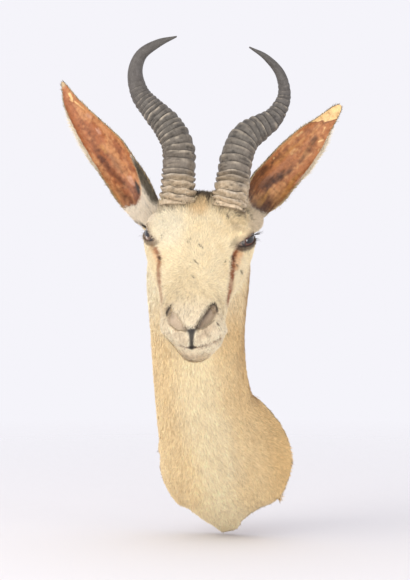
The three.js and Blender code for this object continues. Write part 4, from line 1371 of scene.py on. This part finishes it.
def buildEar(side):
    sign = sides[side]
    t = np.linspace(0, 1, ear["steps"])
    width, cup, hollow, wall = between(ear["rows"] + [ear["tip"][side]], t).T
    width = width * ear["breadth"][side]
    width = width * np.sqrt(np.clip(1 - np.clip((t - 1) / ear["blunt"][side] + 1, 0, 1) ** 2, 0.004, 1))
    draw = ear["rootDraw"][side]
    width = width * (draw + (1 - draw) * ease(t, 0, ear["rootEnd"]))
    wall = wall * ear["wallShare"]
    # each ring runs over the back and returns along the lining
    n = ear["across"]
    half = math.radians(ear["halfAngle"])
    share = np.concatenate([np.linspace(0, 1, n), np.linspace(1, 0, n)])
    outer = np.arange(2 * n) < n
    angle = (2 * share - 1) * half
    bowl = (np.cos(angle) - math.cos(half)) / (1 - math.cos(half))
    length = ear["length"][side]
    up = np.repeat((t * length)[:, None], 2 * n, 1)
    edgeFar = 1 - np.abs(2 * share - 1)
    thin = np.sqrt(np.clip(edgeFar * ear["rimThin"], 0, 1))  # the rim thins out
    seed = ear["seed"][side]
    ripple = gridLumps(up * 0.05, up, 16.0, seed)
    sideways = np.where(share < 0.5, -1, 1)
    across = (width[:, None] / 2) * np.sin(angle) / math.sin(half)
    across = across + sideways * 1.1 * ripple * (1 - edgeFar) ** 3 * ease(t, 0.15, 0.3)[:, None]
    across = across + (sign * ear["bend"][side] * ease(t, 0.45, 0.8) * (1 - ease(t, 0.86, 1.0)))[:, None]
    skinHalf = wall[:, None] / 2 * thin
    back = np.where(outer, cup[:, None] * bowl + skinHalf, cup[:, None] * bowl * hollow[:, None] - skinHalf)
    # long folds of the lining, deepest towards the root
    fold = np.sin(share * 15 + 2.0 * np.sin(t * 5)[:, None] + ripple) * edgeFar ** 0.6
    crease = fold * 0.9 * (1 - ease(t, 0.55, 0.95))[:, None] * ease(t, 0.12, 0.25)[:, None]
    bumpy = gridLumps(across, up * 0.5, 4.0, seed + 1)
    back = back + np.where(outer, 0, crease + 0.5 * bumpy * edgeFar)
    placed = fromHead(toEar(np.stack([across, back, up], -1).reshape(-1, 3), side))
    piece = newPiece(side + "EarShell", placed, *closedTube(ear["steps"], 2 * n, turned=True), earMaterial,
                     "ear", (side + "_ear",))
    # colours of the lining: painted shade in the folds, and dark at the foot
    low = up * 0.4
    patchy = gridLumps(across, low, 11.0, seed + 2)
    streaky = gridLumps(across * 1.6, low * 0.5, 2.6, seed + 4)
    crinkle = gridLumps(across, low * 2.2, 3.0, seed + 6)
    inward = -sign * across  # mm towards the head
    pixels = seenAt(placed)
    deep = tint(ear["deep"][side])
    edge, bare, shade, glintHighlight, highlightGold = (tint(ear[name]) for name in ("edge", "bare", "shade", "glintHighlight", "highlightGold"))
    lit = ease(patchy + 0.3 * streaky + 0.5 * crinkle, -0.3, 0.9)
    tone = mix(tint(ear["lining"][side]), tint(ear["light"][side]), lit)
    # painted shade: darker in the lining's folds
    foldShade = ease(-0.7 * fold - 0.9 * patchy - 0.4 * crinkle, 0.3, 1.4) * 0.75
    tone = mix(tone, deep, foldShade * (1 - ease(t, 0.6, 0.9))[:, None])
    foot, footAt, footRise = ear["liningFoot"][side]
    footLine = foot + np.clip(footAt - inward, 0, 60) * footRise
    aboveFoot = ease(up - footLine + 12 * patchy + 6 * streaky, 2, ear["darkFoot"][side])
    tone = mix(tone, deep, (1 - aboveFoot) * ear["footDeep"][side])
    # painted shade along the creases, painted highlights (glints and golden streaks), and scrapes with a few
    # painted glints
    rough = 0.6 + 0.4 * ease(bumpy + 0.6 * streaky, -0.5, 0.5)
    shaken = pixels + 1.2 * streaky.reshape(-1, 1)
    for name, colour, soft, strength in (("creaseShadows", deep, 3.0, 0.75), ("glints", glintHighlight, 1.6, 0.6),
                                         ("highlightGolds", highlightGold, 2.4, 0.7), ("scrapesAndGlints", bare, 0.7, 0.85)):
        for line, widths in ear[name]:
            stroke = strokeMask(shaken, line, widths, soft).reshape(up.shape)
            tone = mix(tone, colour, stroke * strength * rough)
    # the worn or pale tip, and the edge
    if side == "left":
        torn = up - length * (ear["tornAt"] - ear["tornSlant"] * inward) + 3.0 * patchy + 2.5 * bumpy
        tone = mix(tone, deep, ease(torn, -4.0, -1.5) * 0.35)
        tone = mix(tone, bare, ease(torn, -0.8, 0.8))
    else:
        tipFrom, tipFull = ear["paleTip"]
        tone = mix(tone, edge, ease(up, tipFrom * length, tipFull * length))
    tone = mix(tone, edge, (1 - ease(edgeFar, 0.012, 0.06)) * 0.8)
    # painted shadow: a dark slit beside the pale fold of the ear
    for line, widths in ear["slitShadows"]:
        tone = mix(tone, tint(ear["slit"]), strokeMask(pixels, line, widths, 1.4).reshape(up.shape) * 0.95)
    # haired skin below the lining and towards the head
    edgeUp, edgeIn = ear["liningEdge"][side]
    past = inward - np.interp(up, edgeUp, edgeIn)  # mm beyond the lining
    tone = mix(tone, tint(ear["fold"]), ease(past, -1.2, -0.4) * (1 - ease(up, 95, 125)))
    belowFoot = 1 - ease(up - footLine + 1.5 * bumpy, -1.5, 1.0)
    haired = np.maximum(ease(past, 0.8, 2.0) * (1 - ease(up, 90, 110)), belowFoot)
    shaded = ease(inward + 3 * patchy, 10, 15) * ease(up, 12, 26) * (1 - ease(up, 70, 92)) * 0.95
    skinTone = mix(tint(ear["foot"][side]), shade, shaded)
    skinTone = mix(skinTone, shade, ease(streaky + 0.4 * bumpy, 0.55, 0.85) * 0.5)
    tone = mix(tone, skinTone, haired)
    # the back
    rear = mix(tint(ear["rear"]), edge, ease(patchy + streaky, -0.4, 1.2) * 0.3)
    rear = mix(rear, tint(coat["nape"]), (1 - ease(up + 8 * patchy, 14, 64)) * 0.85)
    tone = np.where(outer[None, :, None], rear, tone).reshape(-1, 3)
    haired = np.where(outer[None, :], 1.0, haired).ravel()
    paintPoints(piece.data, "lining", tone)
    return piece, tone, haired


earPieces = {side: buildEar(side) for side in sides}
print("ears built")

earHair = {  # hairs, mm, lean away from the ear's middle; no tint takes the shell's own colour
    "rear": {"count": 14000, "long": 4.5, "spread": 0.15, "tint": None},
    "front": {"count": 7000, "long": 5.0, "spread": 0.1, "tint": None},
    "rim": {"count": 2500, "long": 3.6, "spread": 0.5, "tint": "#BDA67E"},
    "fringe": {"count": 800, "long": 5.5, "spread": 0.9, "tint": "#E4D8C0"},
    "wide": 0.45, "longVary": (0.3, 0.4, 1.7), "stray": 0.25, "rise": 18.0, "lie": 5.0,
}


def earAside(points, side, acrossWay):  # mm to one side of the ear's own middle line
    start = fromHead(toEar(np.zeros((1, 3)), side))[0]
    return (points - start) @ acrossWay


def buildEarHair(side):
    piece, tone, haired = earPieces[side]
    points, _ = meshArrays(piece.data)
    normals = normalsOf(piece.data)
    triangles = trianglesOf(piece.data)
    n = ear["across"]
    column = np.arange(len(points)) % (2 * n)
    row = np.arange(len(points)) // (2 * n) / ear["steps"]
    outer = (column < n).astype(float)
    edgeFar = 1 - np.abs(2 * np.where(column < n, column, 2 * n - 1 - column) / (n - 1) - 1)
    acrossWay, _, tipWay = (headMatrix @ earMatrix(side)).T
    # where each kind of hair grows
    high = row[triangles].mean(1)
    inside = 1 - outer[triangles].max(1)
    onBack = outer[triangles].min(1) * (1 - ease(high, 0.975, 0.99))
    onFront = inside * haired[triangles].mean(1)
    onRim = 1 - ease(edgeFar[triangles].max(1), 0.05, 0.12)
    onRim = onRim * ease(high, 0.12, 0.2) * (1 - ease(high, 0.94, 0.97))
    inward = -sides[side] * earAside(points, side, acrossWay)[triangles].mean(1)
    onFringe = inside * (1 - ease(edgeFar[triangles].mean(1), 0.04, 0.14)) * (inward < 0)
    onFringe = onFringe * ease(high, 0.40, 0.52) * (1 - ease(high, 0.74, 0.86))
    made = []
    for name, weights in (("rear", onBack), ("front", onFront), ("rim", onRim), ("fringe", onFringe)):
        kind = earHair[name]
        count = kind["count"]
        corners, shares = scatter(points, triangles, weights, count)
        roots = blended(corners, shares, points)
        upright = unit(blended(corners, shares, normals))
        aside = np.sign(earAside(roots, side, acrossWay))[:, None] * acrossWay
        ways = tipWay + kind["spread"] * aside + earHair["stray"] * rng.normal(size=roots.shape)
        ways = laidFlat(ways, upright)
        lengths = kind["long"] * varied(count, *earHair["longVary"])
        shade = tint(kind["tint"]) if kind["tint"] else blended(corners, shares, tone)
        shade = shade * (1 + 0.10 * lumps(roots, 9.0, 71) + 0.10 * rng.normal(size=count))[:, None]
        widths = np.full(count, earHair["wide"])
        made.append((roots, upright, ways, lengths, widths, shade * 0.9, shade * 1.06))
    joined = [np.concatenate(rows) for rows in zip(*made)]
    buildBlades(side + "EarHair", *joined, earHair["rise"], earHair["lie"])


for side in sides:
    buildEarHair(side)
print("ear hair built")


# glass eyes and lashes

def eyeFinish():
    finish = Finish("eyeGlass")
    colour = finish.layer("glass").outputs["Color"]
    flecks = finish.noise(finish.spot((1, 1, 1)), eye["speckScale"], 5.0, 0.6)
    shade = finish.ramp(flecks, [(0.3, (0.75, 0.72, 0.7)), (0.7, (1.1, 1.08, 1.05))])
    dull, smooth = eye["rough"]
    finish.feed(finish.times(colour, shade), "Base Color")
    finish.feed(finish.ramp(flecks, [(0.3, dull), (0.7, smooth)]), "Roughness")
    finish.fix("Specular IOR Level", eye["shine"])
    finish.fix("Coat Weight", eye["coat"])
    finish.fix("Coat Roughness", eye["coatRough"])
    return finish.made


eyeMaterial = eyeFinish()


def buildEye(side):
    middle, rear, rise, gaze = eyeAxes(side)
    rim = math.acos((eye["radius"] - eye["depth"]) / eye["radius"])
    polar = np.linspace(rim, eye["pole"], eye["steps"])
    turns = np.linspace(0, 2 * math.pi, eye["around"], endpoint=False)
    p, a = np.meshgrid(polar, turns, indexing="ij")
    u = eye["radius"] * np.sin(p) * np.cos(a)
    v = eye["radius"] * np.sin(p) * np.sin(a)
    w = eye["radius"] * np.cos(p)
    sign = sides[side]
    points = (middle + u[..., None] * rear * sign + v[..., None] * rise + w[..., None] * gaze).reshape(-1, 3)
    piece = newPiece(side + "EyeGlass", points, *closedTube(eye["steps"], eye["around"]), eyeMaterial,
                     "eye", (side + "_eye",))
    tilt = math.radians(eye["slitTilt"])
    lengthwise = (u * sign) * math.cos(tilt) + v * math.sin(tilt)
    crosswise = -(u * sign) * math.sin(tilt) + v * math.cos(tilt)
    far = np.hypot(u, v)
    spokes = np.stack([np.cos(a) * 5, np.sin(a) * 5, far * 0.2], -1).reshape(-1, 3)
    streaks = lumps(spokes, 0.7, 55).reshape(u.shape)
    tone = mix(tint(eye["irisTint"][side]), tint(eye["rimTint"]), ease(far, eye["iris"] * 0.55, eye["iris"]))
    tone = tone * (1 + 0.4 * streaks)[..., None]
    tone = mix(tone, tint(eye["whiteTint"]), ease(far, eye["iris"] - 0.3, eye["iris"] + 0.8))
    pupil = (lengthwise / eye["pupil"][0]) ** 2 + (crosswise / eye["pupil"][1]) ** 2
    tone = mix(tone, tint(eye["pupilTint"]), 1 - ease(pupil, 0.8, 1.15))
    paintPoints(piece.data, "glass", tone.reshape(-1, 3))


lash = {
    "count": 34, "long": 11.5, "thick": 0.34, "tipThick": 0.02, "segments": 6,  # mm
    "from": -0.2, "to": 1.0, "reach": 0.95, "sunk": 0.4,  # where on the slit they grow
    "lowerEvery": 5, "lowerLong": 0.6, "stray": 0.16, "corners": (0, 2.0944, 4.1888),  # radians about a lash
    "tint": "#1C1410", "streakScale": 1500.0, "rough": 0.5,
}


def lashFinish():
    finish = Finish("lash")
    colour = finish.layer("strand").outputs["Color"]
    streak = finish.noise(finish.spot((1, 1, 1)), lash["streakScale"], 2.0, 0.5)
    shade = finish.ramp(streak, [(0.3, (0.8, 0.8, 0.8)), (0.7, (1.2, 1.15, 1.1))])
    finish.feed(finish.times(colour, shade), "Base Color")
    finish.fix("Roughness", lash["rough"])
    return finish.made


lashMaterial = lashFinish()


def buildLashes(side):
    middle, rear, rise, gaze = eyeAxes(side)
    tilt = math.tan(math.radians(eye["slitTilt"]))
    slitHalf = eye["slitHalf"][side]
    segments = lash["segments"]
    corners = len(lash["corners"])
    points, loops, starts, shades = [], [], [], []
    for i in range(lash["count"]):
        upper = (i + 1) % lash["lowerEvery"] != 0  # a few on the lower lid
        turn = 1 if upper else -1
        share = lash["from"] + (lash["to"] - lash["from"]) * rng.random()
        back = share * slitHalf * lash["reach"]
        bow = eye["slitHigh"][side] * (1 - (back / slitHalf) ** 2)
        high = turn * bow + tilt * back
        back = back + eye["slitBack"][side]
        out = math.sqrt(max(eye["lidRadius"] ** 2 - back ** 2 - high ** 2, 4.0))
        at = middle + rear * back + rise * high + gaze * (out - lash["sunk"])
        # out of the lid, then up or down and back
        first = gaze * 0.9 + rise * turn * 0.15 + rear * (0.25 + 0.5 * share)
        first = unit(first + lash["stray"] * rng.normal(size=3))
        later = gaze * 0.25 + rise * turn * (0.75 if upper else 0.6) + rear * (0.4 + 0.5 * share)
        later = unit(later + lash["stray"] * rng.normal(size=3))
        long = lash["long"] * (0.6 + 0.6 * rng.random()) * (1 if upper else lash["lowerLong"])
        start = len(points)
        for k in range(segments + 1):
            t = k / segments
            way = unit(first * (1 - t) + later * t)
            one = unit(np.cross(way, rear + 0.1))
            two = np.cross(way, one)
            thick = lash["thick"] / 2 * (1 - t) + lash["tipThick"]
            for corner in lash["corners"]:
                points.append(at + one * thick * math.cos(corner) + two * thick * math.sin(corner))
                shades.append(tint(lash["tint"]) * (1 + 0.6 * t))
            at = at + way * long / segments
        tube, faces = closedTube(segments + 1, corners)
        starts.extend(faces + len(loops))
        loops.extend(tube + start)
    piece = newPiece(side + "Lashes", np.array(points), loops, starts, lashMaterial, "skin")
    paintPoints(piece.data, "strand", np.array(shades))


for side in sides:
    buildEye(side)
    buildLashes(side)
print("eyes and lashes built")


# the board on the wall

board = {
    "dark": "#6E4A28", "light": "#A87B49", "ring": 46.0, "stretch": 0.07,
    "poreScale": 900.0, "poreStretch": 0.03, "poreDeep": 0.0006, "rough": (0.85, 0.68),
}


def boardFinish():
    finish = Finish("boardWood")
    rings = finish.noise(finish.spot((1, 1, board["stretch"])), board["ring"], 8.0, 0.6)
    pores = finish.noise(finish.spot((1, 1, board["poreStretch"])), board["poreScale"], 3.0, 0.5)
    dark, light = tint(board["dark"]), tint(board["light"])
    grain = finish.ramp(rings, [(0.35, dark), (0.5, light), (0.62, dark)])
    specks = finish.ramp(pores, [(0.35, (0.7, 0.68, 0.66)), (0.55, (1.0, 1.0, 1.0))])
    dull, smooth = board["rough"]
    finish.feed(finish.times(grain, specks), "Base Color")
    finish.feed(finish.ramp(pores, [(0.3, dull), (0.7, smooth)]), "Roughness")
    finish.feed(finish.bump(pores, board["poreDeep"], 0.35), "Normal")
    return finish.made


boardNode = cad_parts["back_board"]
boardNode.data.materials.clear()
boardNode.data.materials.append(boardFinish())
print("board finished")
